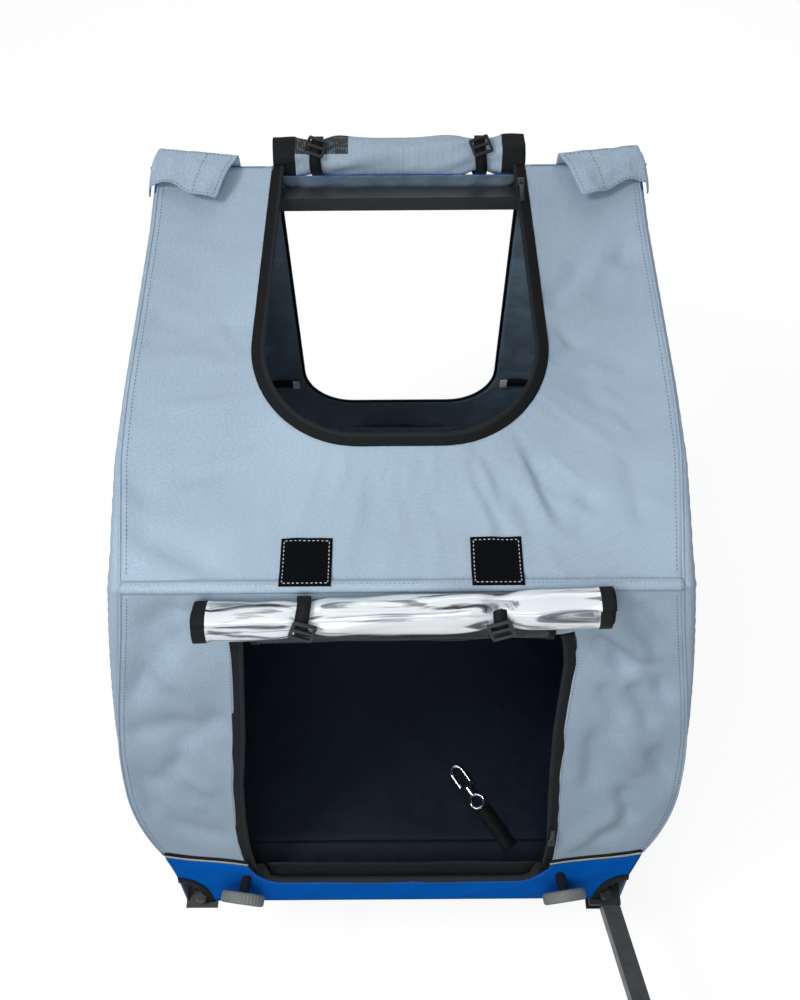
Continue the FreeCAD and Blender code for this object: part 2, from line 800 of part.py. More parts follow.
def make_rolls():
    window_lift = size("window_roll_radius") + size("soft_gap")
    window_spot = placed_point(front_frame(), Vector(0, -size("window_roll_drop"), window_lift))
    mesh_drop = size("window_roll_drop") + size("window_roll_radius") + size("mesh_roll_radius")
    mesh_lift = size("mesh_roll_radius") + size("soft_gap")
    mesh_spot = placed_point(front_frame(), Vector(0, -mesh_drop, mesh_lift))
    roof_reach = size("roof_roll_radius") + size("soft_gap")
    roof_spot = Vector(0, size("rear_y") + roof_reach, size("roof_z") - size("roof_roll_drop"))
    window = rolled_flap(size("window_roll_radius"), size("window_roll_half_length"), size("window_tie_offset"))
    roof = rolled_flap(size("roof_roll_radius"), size("roof_roll_half_length"), size("roof_tie_offset"))
    half = size("mesh_roll_half_length")
    mesh = Part.makeCylinder(size("mesh_roll_radius"), 2 * half, Vector(-half, 0, 0), Vector(1, 0, 0))
    node(feature("WindowRoll", window, Placement(window_spot, Rotation())), "window_roll")
    node(feature("MeshRoll", mesh, Placement(mesh_spot, Rotation())), "mesh_roll")
    node(feature("RoofRoll", roof, Placement(roof_spot, Rotation())), "roof_roll")
    ties = []
    toggles = []
    forward = Vector(0, -1, 0)
    for radius, x, spot, outward in (
        (size("window_roll_radius"), size("window_tie_offset"), window_spot, forward),
        (size("roof_roll_radius"), size("roof_tie_offset"), roof_spot, Vector(0, 0, 1)),
    ):
        for side in (1, -1):
            at = Placement(spot, Rotation())
            ties.append(placed(roll_ring(radius, side * x), at))
            toggles.append(placed(roll_toggle(radius, side * x, outward), at))
    node(feature("RollTies", Part.makeCompound(ties)), "roll_ties")
    node(feature("TieToggles", Part.makeCompound(toggles)), "tie_toggles")


def placed_point(frame, point):
    return frame.multVec(point)


def make_base():
    rails = []
    for label, side in SIDES:
        name = label + "_rail"
        length = "cabin_length - front_tube_setback - rear_tube_inset"
        middle = "front_y + front_tube_setback + (%s) / 2" % length
        x = "%d * rail_x" % side
        tube = square_tube(name, "tube", "tube_wall", length, x, middle, "base_z + tube / 2", "y")
        hole = cylinder(
            name + "_hole", "bolt_radius + pivot_gap", "tube + 2 * overrun", x, "tow_pivot_y", "base_z - overrun"
        )
        rails.append(cut(name + "_drilled", tube, hole))
    node(group("BaseRails", *rails), "base_rails")

    crossings = []
    for name, y in (
        ("front_tube", "front_y + front_tube_setback + tube / 2"),
        ("axle_tube", "axle_y"),
        ("rear_tube", "rear_y - rear_tube_inset - tube / 2"),
    ):
        length = "2 * (rail_x - tube / 2)"
        crossings.append(square_tube(name, "tube", "tube_wall", length, "0", y, "base_z + tube / 2", "x"))
    node(group("CrossTubes", *crossings), "cross_tubes")

    half = "(base_half_width - board_margin)"
    run = "(cabin_length - board_front - board_rear_inset)"
    board = box(
        "FloorBoard", "2 * " + half, run, "board_thickness", "-" + half, "front_y + board_front", "board_z"
    )
    node(board, "floor_board")
    half = "(base_half_width - board_margin - mat_margin)"
    mat = box("FloorMat", "2 * " + half, run, "mat_thickness", "-" + half, "front_y + board_front", "mat_z")
    node(mat, "floor_mat")

    receivers = []
    for label, side in SIDES:
        name = label + "_receiver"
        block = box(
            name + "_block",
            "2 * receiver_half_length",
            "receiver_side",
            "receiver_side",
            "%d * rail_x - receiver_half_length" % side,
            "axle_y - receiver_side / 2",
            "base_z - receiver_side",
        )
        bore = cylinder(
            name + "_bore",
            "axle_radius + running_gap",
            "2 * receiver_half_length + 2 * overrun",
            "%d * rail_x - receiver_half_length - overrun" % side,
            "axle_y",
            "axle_z",
            "x",
        )
        receivers.append(cut(name, block, bore))
    node(group("AxleReceivers", *receivers), "axle_receivers")


def make_corner_brackets():
    deep = "bracket_front + bracket_rear"
    front = "front_y - bracket_front"

    def plate(name, side, z):
        x = "%d * rail_x - bracket_half_width" % side
        return box(name, "2 * bracket_half_width", deep, "bracket_plate", x, front, z)

    def drill(name, side, radius, y):
        height = "base_z - bracket_foot + 2 * overrun"
        return cylinder(name, radius, height, "%d * rail_x" % side, y, "bracket_foot - overrun")

    upper = plate("tow_upper_plate", 1, "base_z - bracket_plate")
    lower = plate("tow_lower_plate", 1, "bracket_foot")
    web = box(
        "tow_web",
        "bracket_plate",
        "bracket_rear - bracket_web_front",
        "base_z - bracket_foot",
        "rail_x + bracket_half_width",
        "front_y + bracket_web_front",
        "bracket_foot",
    )
    channel = fused("tow_channel", upper, lower, web)
    bolt_hole = drill("tow_bolt_hole", 1, "bolt_radius + pivot_gap", "tow_pivot_y")
    knob_hole = drill("tow_knob_hole", 1, "knob_screw_radius + pivot_gap", "knob_y")
    node(cut("TowBracket", channel, bolt_hole, knob_hole), "tow_bracket")

    spare = plate("spare_plate", -1, "base_z - bracket_plate")
    bolt_hole = drill("spare_bolt_hole", -1, "bolt_radius + pivot_gap", "tow_pivot_y")
    knob_hole = drill("spare_knob_hole", -1, "knob_screw_radius + pivot_gap", "knob_y")
    node(cut("SpareTowPlate", spare, bolt_hole, knob_hole), "spare_tow_plate")

    bolts = []
    for label, side, foot in (("tow", 1, "bracket_foot"), ("spare", -1, "base_z - bracket_plate")):
        x = "%d * rail_x" % side
        shaft = cylinder(label + "_bolt_shaft", "bolt_radius", "rail_top - (%s)" % foot, x, "tow_pivot_y", foot)
        head = cylinder(label + "_bolt_head", "bolt_head_radius", "bolt_head_height", x, "tow_pivot_y", "rail_top")
        pieces = [shaft, head]
        if side > 0:
            low = "bracket_foot - bolt_head_height"
            pieces.append(cylinder("tow_bolt_nut", "bolt_head_radius", "bolt_head_height", x, "tow_pivot_y", low))
        bolts.append(fused(label + "_bolt", *pieces))
    node(group("TowBolts", *bolts), "tow_bolts")

    for label, side in SIDES:
        screw = "-bracket_plate"
        outline = [
            ("0", screw),
            ("knob_screw_radius", screw),
            ("knob_screw_radius", "plate_gap"),
            ("knob_waist_radius", "plate_gap"),
            ("knob_waist_radius", "knob_height / 3"),
            ("knob_radius", "knob_height / 2"),
            ("knob_radius", "knob_height - plate_gap"),
            ("knob_waist_radius", "knob_height"),
            ("0", "knob_height"),
        ]
        knob = turned("LockKnob", outline, "z", "%d * rail_x" % side, "knob_y", "base_z")
        node(knob, label + "_lock_knob")


def hinge_bracket(name, x, y, foot, pivot):
    """A U-shaped bracket: a foot plate and two cheeks beside a post, drilled for its pin."""
    inner = "(post / 2 + soft_gap)"
    wide = "2 * (%s + hinge_plate)" % inner
    deep = "2 * hinge_reach"
    least_x = "(%s) - %s - hinge_plate" % (x, inner)
    least_y = "(%s) - hinge_reach" % y
    tall = "(%s) - (%s) + hinge_reach" % (pivot, foot)
    foot_plate = box(name + "_foot", wide, deep, "hinge_plate", least_x, least_y, foot)
    near = box(name + "_near", "hinge_plate", deep, tall, least_x, least_y, foot)
    far = box(name + "_far", "hinge_plate", deep, tall, "(%s) + %s" % (x, inner), least_y, foot)
    bracket = fused(name, foot_plate, near, far)
    hole = cylinder(name + "_hole", "hinge_pin_radius", wide, least_x, y, pivot, "x")
    pin = cylinder(name + "_pin", "hinge_pin_radius", wide, least_x, y, pivot, "x")
    return cut(name + "_drilled", bracket, hole), pin


def make_hinges():
    brackets = []
    pins = []
    for end, x, y, pivot in (
        ("rear", "rail_x", "rear_pivot_y", "rear_pivot_z"),
        ("front", "front_post_x", "front_pivot_y", "front_pivot_z"),
    ):
        for label, side in SIDES:
            name = "%s_%s_hinge" % (end, label)
            bracket, pin = hinge_bracket(name, "%d * %s" % (side, x), y, "rail_top", pivot)
            if end == "front":
                lug = box(
                    name + "_lug",
                    "2 * (post / 2 + soft_gap + hinge_plate)",
                    "front_pivot_setback - front_tube_setback - hinge_reach + hinge_plate",
                    "hinge_plate",
                    "%d * %s - post / 2 - soft_gap - hinge_plate" % (side, x),
                    "front_y + front_tube_setback",
                    "rail_top",
                )
                bracket = fused(name + "_seated", bracket, lug)
            brackets.append(bracket)
            pins.append(pin)
    node(group("HoopHinges", *brackets), "hoop_hinges")
    node(group("HingePins", *pins), "hinge_pins")


def make_rear_hoop():
    posts = []
    for label, side in SIDES:
        name = "rear_%s_post" % label
        length = "rear_bar_z - post / 2 - rear_pivot_z + post_tail"
        middle = "rear_pivot_z - post_tail + (%s) / 2" % length
        x = "%d * rail_x" % side
        tube = square_tube(name, "post", "tube_wall", length, x, "rear_pivot_y", middle, "z")
        hole = cylinder(
            name + "_hole",
            "hinge_pin_radius + pivot_gap",
            "post + 2 * overrun",
            "%s - post / 2 - overrun" % x,
            "rear_pivot_y",
            "rear_pivot_z",
            "x",
        )
        posts.append(cut(name + "_drilled", tube, hole))
    node(group("RearPosts", *posts), "rear_posts")
    bar = square_tube(
        "RearBar", "post", "tube_wall", "2 * rail_x + post", "0", "rear_pivot_y", "rear_bar_z", "x"
    )
    node(bar, "rear_crossbar")


def front_hoop_radius():
    lean = math.atan2(size("seam_setback"), size("seam_rise"))
    return (size("seam_z") - size("front_bar_drop") - size("front_pivot_z")) / math.cos(lean)


def make_front_hoop():
    """Leaning posts and their top bar, made upright about the pivot and leant back with the front panel."""
    lean = math.degrees(math.atan2(size("seam_setback"), size("seam_rise")))
    pivot = Vector(0, size("front_pivot_y"), size("front_pivot_z"))
    place = Placement(pivot, Rotation(Vector(1, 0, 0), -lean))
    side_length = size("post")
    bore = side_length - 2 * size("tube_wall")
    reach = front_hoop_radius()
    top = reach - side_length / 2
    length = top + size("post_tail")
    middle = (top - size("post_tail")) / 2
    hole_length = side_length + 2 * size("overrun")
    posts = []
    for _, side in SIDES:
        x = side * size("front_post_x")
        tube = slab(side_length, side_length, length, Vector(x, 0, middle))
        tube = tube.cut(slab(bore, bore, length + 2 * size("overrun"), Vector(x, 0, middle)))
        start = Vector(x - hole_length / 2, 0, 0)
        hole = Part.makeCylinder(
            size("hinge_pin_radius") + size("pivot_gap"), hole_length, start, Vector(1, 0, 0)
        )
        posts.append(tube.cut(hole))
    node(feature("FrontPosts", Part.makeCompound(posts), place), "front_posts")
    span = 2 * size("front_post_x") + side_length
    bar = slab(span, side_length, side_length, Vector(0, 0, reach))
    bar = bar.cut(slab(span + 2 * size("overrun"), bore, bore, Vector(0, 0, reach)))
    node(feature("FrontBar", bar, place), "front_crossbar")


def spoke_shapes():
    """Straight spokes from the two hub flanges to the rim, about the Z axis."""
    count = int(size("spoke_count"))
    inner = size("flange_radius") - 2 * size("spoke_radius")
    outer = size("rim_inner_radius") - size("plate_gap")
    flange = size("flange_offset") + size("flange_thickness") + size("spoke_radius") + size("soft_gap")
    spokes = []
    for number in range(count):
        side = 1 if number % 2 else -1
        angle = 2 * math.pi * number / count
        away = Vector(math.cos(angle), math.sin(angle), 0)
        start = away * inner + Vector(0, 0, side * flange)
        stop = away * outer + Vector(0, 0, side * size("rim_inner_half_width") / 2)
        run = stop - start
        spokes.append(Part.makeCylinder(size("spoke_radius"), run.Length, start, run))
    return Part.makeCompound(spokes)


def mirrored_outline(half):
    """Adds the other half of an outline that is the same on both sides of height zero."""
    other = [(radius, "-(%s)" % height) for radius, height in reversed(half)]
    return half + other


def make_wheel(label, side):
    axis = "x" if side > 0 else "-x"
    centre = ("%d * wheel_plane_x" % side, "axle_y", "axle_z")

    seat = "hub_half_length - bearing_width"
    bore = [("hub_bore_radius", seat), ("bearing_radius", seat), ("bearing_radius", "hub_half_length")]
    skin = [
        ("hub_radius", "hub_half_length"),
        ("hub_radius", "flange_offset + flange_thickness"),
        ("flange_radius", "flange_offset + flange_thickness"),
        ("flange_radius", "flange_offset"),
        ("hub_barrel_radius", "flange_offset"),
    ]
    node(turned("Hub", mirrored_outline(bore + skin), axis, *centre), label + "_hub")

    half = [
        ("rim_inner_radius", "rim_inner_half_width"),
        ("rim_seat_radius - rim_wall", "rim_half_width"),
        ("rim_flange_radius", "rim_half_width"),
        ("rim_flange_radius", "rim_half_width - rim_wall"),
        ("rim_seat_radius", "rim_half_width - rim_wall"),
        ("rim_well_radius", "rim_well_half_width"),
    ]
    node(turned("Rim", mirrored_outline(half), axis, *centre), label + "_rim")

    bearings = []
    for tag, at in (("inner", "-hub_half_length"), ("outer", "hub_half_length - bearing_width")):
        start = ("%d * (wheel_plane_x + (%s))" % (side, at), "axle_y", "axle_z")
        name = "%s_%s_bearing" % (label, tag)
        race = cylinder(name + "_race", "bearing_radius", "bearing_width", *start, axis)
        hole = cylinder(name + "_hole", "axle_radius + running_gap", "bearing_width", *start, axis)
        bearings.append(cut(name, race, hole))
    node(group("Bearings", *bearings), label + "_bearings")

    place = Placement(Vector(side * size("wheel_plane_x"), size("axle_y"), size("axle_z")), AXIS_TURNS[axis])
    node(feature("Spokes", spoke_shapes(), place), label + "_spokes")

    ring = doc.addObject("Part::Torus", label + "_tyre_skin")
    cavity = doc.addObject("Part::Torus", label + "_tyre_cavity")
    for torus, section in ((ring, "tyre_section / 2"), (cavity, "tyre_section / 2 - tyre_wall")):
        torus.Placement = Placement(Vector(), AXIS_TURNS[axis])
        bind(torus, Radius1="wheel_diameter / 2 - tyre_section / 2", Radius2=section)
        bind(torus, Placement__Base__x=centre[0], Placement__Base__y=centre[1], Placement__Base__z=centre[2])
    start = "%d * (wheel_plane_x - tyre_section / 2)" % side
    seat = cylinder(
        label + "_tyre_seat", "rim_seat_radius + rim_wall", "tyre_section", start, "axle_y", "axle_z", axis
    )
    node(cut(label + "_tyre_shape", ring, cavity, seat), label + "_tyre")


def make_axle(label, side):
    """The quick-release axle: a shaft from the receiver to the hub's outer end, with a collar, a cap and a button."""
    axis = "x" if side > 0 else "-x"
    seat = "receiver_half_length + plate_gap"
    hub_start = "wheel_plane_x - rail_x - hub_half_length - plate_gap"
    hub_end = "wheel_plane_x - rail_x + hub_half_length + plate_gap"
    end = hub_end + " + axle_cap_length"
    floor = end + " - button_depth"
    outline = [
        ("0", "-receiver_half_length"),
        ("axle_radius", "-receiver_half_length"),
        ("axle_radius", seat),
        ("axle_collar_radius", seat),
        ("axle_collar_radius", hub_start),
        ("axle_radius", hub_start),
        ("axle_radius", hub_end),
        ("axle_cap_radius", hub_end),
        ("axle_cap_radius", end),
        ("button_radius + pivot_gap", end),
        ("button_radius + pivot_gap", floor),
        ("0", floor),
    ]
    spot = ("%d * rail_x" % side, "axle_y", "axle_z")
    node(turned("Axle", outline, axis, *spot), label + "_axle")
    low = floor + " + button_depth - plate_gap"
    button = cylinder(
        label + "_button",
        "button_radius",
        "button_reach + plate_gap",
        "%d * (rail_x + %s)" % (side, low),
        "axle_y",
        "axle_z",
        axis,
    )
    node(button, label + "_axle_button")


def make_tow_bar():
    """A square tube in two straight runs with one bend, swung out from the corner bracket."""
    out = math.radians(size("tow_out_angle"))
    inward = math.radians(size("tow_in_angle"))
    first = Vector(math.sin(out), -math.cos(out), 0)
    second = Vector(-math.sin(inward), -math.cos(inward), 0)
    pivot = Vector(size("rail_x"), size("tow_pivot_y"), size("tow_z"))
    start = pivot - first * size("tow_tail")
    corner = pivot + first * size("tow_long_length")
    stop = corner + second * size("tow_short_length")
    turn = first.getAngle(second)
    setback = size("tow_bend_radius") * math.tan(turn / 2)
    bend_start = corner - first * setback
    bend_stop = corner + second * setback
    middle = (first * -1 + second)
    middle.normalize()
    inner_reach = size("tow_bend_radius") / math.cos(turn / 2)
    bend_middle = corner + middle * (inner_reach - size("tow_bend_radius"))
    edges = [
        Part.LineSegment(start, bend_start).toShape(),
        Part.Arc(bend_start, bend_middle, bend_stop).toShape(),
        Part.LineSegment(bend_stop, stop).toShape(),
    ]
    path = Part.Wire(edges)
    across_bar = Vector(math.cos(out), math.sin(out), 0)
    up = Vector(0, 0, 1)

    def swept(half):
        signs = ((-1, -1), (1, -1), (1, 1), (-1, 1))
        corners = [start + across_bar * half * a + up * half * b for a, b in signs]
        outline = Part.makePolygon(corners + [corners[0]])
        shell = Part.BRepOffsetAPI.MakePipeShell(path)
        shell.add(outline)
        shell.build()
        shell.makeSolid()
        return shell.shape()

    bar = swept(size("tow_tube") / 2).cut(swept(size("tow_tube") / 2 - size("tow_wall")))
    height = size("tow_tube") + 2 * size("overrun")
    drill = Part.makeCylinder(size("bolt_radius") + size("pivot_gap"), height, pivot - up * (height / 2))
    node(feature("TowBar", bar.cut(drill)), "tow_bar")


def make_hitch():
    turn = Rotation(Vector(0, 0, 1), -size("tow_in_angle"))
    bar_end = Placement(Vector(size("tow_end_x"), size("tow_end_y"), size("tow_z")), turn)
    forward = Vector(0, -1, 0)
    block = Part.makeCylinder(size("block_radius"), size("block_length"), Vector(), forward)
    node(feature("CouplerBlock", block, bar_end), "coupler_block")

    half = size("fork_half_width")
    height = 2 * size("fork_half_height")
    base_end = size("block_length") + size("fork_base")
    nose = size("pin_reach") + size("fork_nose")
    middle = (size("block_length") + nose) / 2
    fork = slab(2 * half, nose - size("block_length"), height, Vector(0, -middle, 0))
    slot_height = height - 2 * size("fork_prong")
    slot = slab(
        2 * half + 2 * size("overrun"),
        nose - base_end + size("overrun"),
        slot_height,
        Vector(0, -(base_end + nose + size("overrun")) / 2, 0),
    )
    pin_spot = Vector(0, -size("pin_reach"), -height)
    hole = Part.makeCylinder(size("pin_radius") + size("pivot_gap"), 2 * height, pin_spot)
    node(feature("CouplerFork", fork.cut([slot, hole]), bar_end), "coupler_fork")

    at_pin = Placement(Vector(size("pin_x"), size("pin_y"), size("tow_z")), Rotation())
    thick = slot_height - 2 * size("plate_gap")
    back = size("tongue_half_width")
    long = size("ear_start") + size("tongue_half_width") + back
    tongue = slab(2 * back, long, thick, Vector(0, back - long / 2, 0))
    ear = Part.makeBox(
        size("ear_thickness"),
        size("ear_reach") - size("ear_start"),
        size("ear_depth") + size("ear_height"),
        Vector(-size("ear_thickness") / 2, -size("ear_reach"), -size("ear_depth")),
    )
    pin_hole = Part.makeCylinder(size("pin_radius") + size("pivot_gap"), 2 * height, Vector(0, 0, -height))
    hole_start = Vector(-size("ear_thickness"), -size("axle_hole_reach"), -size("axle_hole_drop"))
    axle_hole = Part.makeCylinder(size("axle_hole_radius"), 2 * size("ear_thickness"), hole_start, Vector(1, 0, 0))
    plate = tongue.fuse(ear).removeSplitter().cut([pin_hole, axle_hole])
    node(feature("HitchPlate", plate, at_pin), "hitch_plate")

    low = -size("fork_half_height") - size("plate_gap")
    shaft = Part.makeCylinder(size("pin_radius"), height + size("plate_gap"), Vector(0, 0, low))
    head = Part.makeCylinder(
        size("pin_head_radius"), size("pin_head_height"), Vector(0, 0, low - size("pin_head_height"))
    )
    node(feature("HitchPin", shaft.fuse(head).removeSplitter(), at_pin), "hitch_pin")


def make_bumpers():
    pucks = []
    for label, side in SIDES:
        outline = [
            ("0", "-bumper_stud_length"),
            ("bumper_stud_radius", "-bumper_stud_length"),
            ("bumper_stud_radius", "0"),
            ("bumper_radius - bumper_edge", "0"),
            ("bumper_radius", "bumper_edge"),
            ("bumper_radius", "bumper_thickness - bumper_edge"),
            ("bumper_radius - bumper_edge", "bumper_thickness"),
            ("bumper_radius / 2", "bumper_thickness"),
            ("bumper_radius / 2 - bumper_edge", "bumper_thickness - bumper_recess"),
            ("0", "bumper_thickness - bumper_recess"),
        ]
        turn = bumper_turn(side).multiply(AXIS_TURNS["-y"])
        spot = ("%d * bumper_x" % side, "bumper_y", "bumper_z")
        pucks.append(turned(label + "_bumper", outline, turn, *spot))
    node(group("FrontBumpers", *pucks), "front_bumpers")


def make_tether():
    """The tether on the floor: a strap end, a swivel eye, a snap hook and its gate, laid along one line."""
    spot = Vector(size("tether_offset"), size("front_y") + size("tether_setback"), size("hook_z"))
    line = Placement(spot, Rotation(Vector(0, 0, 1), size("tether_angle")))
    up = Vector(0, 1, 0)
    wire = size("hook_wire")
    barrel = Part.makeCylinder(size("swivel_radius"), size("swivel_length"), Vector(), up)
    stem_hole = Part.makeCylinder(size("swivel_stem") + size("pivot_gap"), size("swivel_length"), Vector(), up)
    half = size("hook_half_width")
    start = size("swivel_length") + wire
    stop = start + size("hook_length")
    round_middle = stop - half
    spine = [
        Part.LineSegment(Vector(-half, start, 0), Vector(-half, round_middle, 0)).toShape(),
        Part.Arc(Vector(-half, round_middle, 0), Vector(0, stop, 0), Vector(half, round_middle, 0)).toShape(),
    ]
    loop = Part.Wire(spine)
    ring = Part.Wire(Part.makeCircle(wire, Vector(-half, start, 0), up))
    shell = Part.BRepOffsetAPI.MakePipeShell(loop)
    shell.add(ring)
    shell.build()
    shell.makeSolid()
    bow = shell.shape()
    foot = slab(2 * half + 2 * wire, 2 * wire, 2 * wire, Vector(0, size("swivel_length") + wire, 0))
    hook = barrel.cut(stem_hole).fuse([foot, bow]).removeSplitter()
    node(feature("SnapHook", hook, line), "snap_hook")

    gate_pivot = Vector(half, start + wire + size("plate_gap") + size("gate_radius"), 0)
    gate_length = round_middle - gate_pivot.y - size("plate_gap")
    gate = Part.makeCylinder(size("gate_radius"), gate_length, gate_pivot, up)
    knuckle = Part.makeSphere(size("gate_radius"), gate_pivot)
    node(feature("SnapGate", gate.fuse(knuckle).removeSplitter(), line), "snap_gate")

    eye_wire = size("eye_wire")
    stem_length = size("swivel_length") + size("plate_gap") + eye_wire
    stem_start = -size("plate_gap") - eye_wire
    stem = Part.makeCylinder(size("swivel_stem"), stem_length, Vector(0, stem_start, 0), up)
    eye_centre = Vector(0, -size("plate_gap") - eye_wire - size("eye_radius"), 0)
    loop = Part.makeTorus(size("eye_radius"), eye_wire, eye_centre, Vector(0, 0, 1))
    node(feature("TetherEye", loop.fuse(stem).removeSplitter(), line), "tether_eye")

    end = eye_centre.y - size("eye_radius") + eye_wire + size("soft_gap")
    low = size("mat_top") - size("hook_z")
    strap = Part.makeBox(
        size("tether_strap_width"),
        size("tether_strap_length"),
        size("tether_strap_thickness"),
        Vector(-size("tether_strap_width") / 2, end - size("tether_strap_length"), low),
    )
    node(feature("TetherStrap", strap, line), "tether_strap")


def check_document():
    doc.recompute()
    for thing in doc.Objects:
        if "Invalid" in thing.State or "Error" in thing.State:
            raise RuntimeError("failed object: %s %s" % (thing.Label, thing.State))
    for thing in nodes:
        shape = thing.Shape
        if shape.isNull() or not shape.isValid() or not shape.Solids:
            raise RuntimeError("bad shape: %s" % thing.Label)


def main():
    fill_sheets()
    make_base()
    make_corner_brackets()
    make_hinges()
    make_rear_hoop()
    make_front_hoop()
    make_cover()
    make_zip_tapes()
    make_zip_sliders()
    make_sewn_pieces()
    make_rolls()
    make_bumpers()
    for label, side in SIDES:
        make_axle(label, side)
        make_wheel(label, side)
    make_tow_bar()
    make_hitch()
    make_tether()
    check_document()
    os.makedirs("parts", exist_ok=True)
    for thing in nodes:
        thing.Shape.exportStep("parts/%s.step" % thing.Label)
    print(len(nodes), "nodes")


main()
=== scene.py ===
"""Looks of a dog bike trailer: cloth cabin, rolled flaps, zips and straps over the fixed frame.

Metres, +Z up. The trailer drives towards -Y, so its left side is at +X.
"""

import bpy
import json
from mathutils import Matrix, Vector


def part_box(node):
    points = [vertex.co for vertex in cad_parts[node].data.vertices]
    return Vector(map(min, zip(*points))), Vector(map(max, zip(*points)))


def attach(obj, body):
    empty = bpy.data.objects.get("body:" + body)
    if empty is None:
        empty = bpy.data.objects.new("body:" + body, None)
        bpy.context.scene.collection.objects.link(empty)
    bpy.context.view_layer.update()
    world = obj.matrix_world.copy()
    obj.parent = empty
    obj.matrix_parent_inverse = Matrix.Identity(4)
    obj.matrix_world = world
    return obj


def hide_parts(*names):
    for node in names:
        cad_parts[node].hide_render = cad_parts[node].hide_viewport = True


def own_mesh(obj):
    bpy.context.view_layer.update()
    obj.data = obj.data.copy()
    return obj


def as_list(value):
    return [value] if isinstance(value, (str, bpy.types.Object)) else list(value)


bl_info = {
    "name": "Dog bike trailer",
    "version": (1, 0, 0),
    "blender": (4, 5, 0),
    "location": "3D View > Sidebar > Trailer",
    "description": "Builds the cloth cabin, rolled flaps, straps and finishes of a dog bike trailer",
    "category": "Object",
}

import json
import math

import bpy
from mathutils import Matrix, Vector, noise
from mathutils.bvhtree import BVHTree

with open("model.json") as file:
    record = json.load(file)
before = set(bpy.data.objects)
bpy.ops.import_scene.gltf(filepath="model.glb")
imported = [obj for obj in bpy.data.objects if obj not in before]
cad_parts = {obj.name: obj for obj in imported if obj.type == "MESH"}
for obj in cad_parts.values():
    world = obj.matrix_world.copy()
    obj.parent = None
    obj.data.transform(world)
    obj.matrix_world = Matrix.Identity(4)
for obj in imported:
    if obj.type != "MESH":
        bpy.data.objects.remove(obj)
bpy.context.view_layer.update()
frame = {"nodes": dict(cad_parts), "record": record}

SIDES = (("left", 1), ("right", -1))
# Least share of its flat size that a sheet with an opening is given as its area.
LEAST_AREA = 0.31


def mm(value):
    return value * 0.001


# Main lines of the cabin, read from the frame.
BASE_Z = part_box("base_rails")[0].z
FRONT_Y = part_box("front_sill")[0].y
SEAM_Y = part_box("roof_panel")[0].y
SEAM_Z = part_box("front_panel")[1].z
REAR_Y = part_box("rear_panel")[1].y
ROOF_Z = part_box("rear_panel")[1].z
SEAM_RISE = SEAM_Z - BASE_Z
TOP_RISE = ROOF_Z - BASE_Z
LEAN = (SEAM_Y - FRONT_Y) / SEAM_RISE
SLOPE = (ROOF_Z - SEAM_Z) / (REAR_Y - SEAM_Y)
FRONT_OUT = Vector((0, -1, LEAN)).normalized()
FRONT_UP = Vector((0, LEAN, 1)).normalized()
ROOF_OUT = Vector((0, -SLOPE, 1)).normalized()
ROOF_BACK = Vector((0, 1, SLOPE)).normalized()
REAR_OUT = Vector((0, 1, 0))
ROOF_RUN = REAR_Y - SEAM_Y

# The barrel-shaped cabin's side as (half width, height above the base tubes) in millimetres: straight up to
# the sill, then an arc through the swell to the belly, and an arc through the shoulder to the front seam.
FOOT, SILL, SWELL, BELLY = (275, 0), (284, 80), (304.7, 131.25), (314, 205)
SHOULDER, SEAM_END = (301.75, 359), (280, 490)

# Half widths of the roof by distance behind the front seam: it bellies out before the hoop draws it in.
ROOF_PLAN = ((0, 281), (60, 285), (130, 287.5), (215, 284.5), (320, 279), (400, 275), (500, 274))

# Hanging folds on the front panel, as (from, to, half width, height) in millimetres across and up.
FRONT_FOLDS = (
    ((-285, 345), (-220, 435), 17, -7), ((-290, 380), (-280, 395), 5, -3), ((-255, 435), (-210, 465), 14, -5),
    ((-295, 295), (-225, 310), 13, -5), ((-245, 275), (-185, 320), 13, -6), ((-280, 210), (-235, 265), 8, -5),
    ((-220, 290), (-215, 265), 5, -3), ((-245, 235), (-220, 205), 9, 4), ((-300, 245), (-290, 165), 14, -5),
    ((-245, 185), (-230, 175), 6, 3), ((-260, 400), (-205, 350), 26, 5), ((-280, 150), (-210, 120), 16, -4),
    ((195, 445), (245, 395), 14, 8), ((215, 405), (260, 380), 10, -6), ((195, 425), (230, 375), 9, -6),
    ((220, 460), (255, 410), 9, -5), ((260, 370), (280, 340), 11, -7), ((205, 360), (230, 315), 9, -5),
    ((235, 360), (265, 305), 9, -6), ((270, 265), (305, 215), 10, -7), ((205, 295), (210, 210), 14, -5),
    ((245, 205), (265, 150), 10, -7), ((200, 100), (250, 165), 12, 4), ((170, 430), (200, 410), 8, -4),
    ((230, 290), (260, 235), 16, 5), ((230, 120), (260, 130), 10, -4),
)
# The same on the roof, across and back from the front seam.
ROOF_FOLDS = (
    ((-270, 60), (-180, 20), 17, -6), ((-190, 290), (-155, 240), 9, -4), ((-225, 110), (-175, 120), 13, -4),
    ((-180, 140), (-145, 150), 8, -3), ((-275, 110), (-245, 85), 13, -4), ((-255, 300), (-270, 255), 12, -4),
    ((-240, 190), (-190, 200), 22, 3), ((-60, 30), (-30, 110), 22, 3), ((160, 300), (205, 355), 10, -6),
    ((165, 275), (180, 260), 8, -4), ((215, 310), (255, 375), 12, -6), ((235, 365), (265, 350), 10, -4),
    ((130, 135), (155, 70), 12, -6), ((155, 100), (200, 90), 11, -5), ((225, 135), (235, 65), 10, -4),
    ((175, 55), (195, 95), 9, -4), ((75, 125), (120, 50), 15, 4), ((190, 265), (155, 235), 8, -4),
    ((205, 240), (225, 160), 18, 4), ((-120, 20), (-140, 90), 18, 3),
)

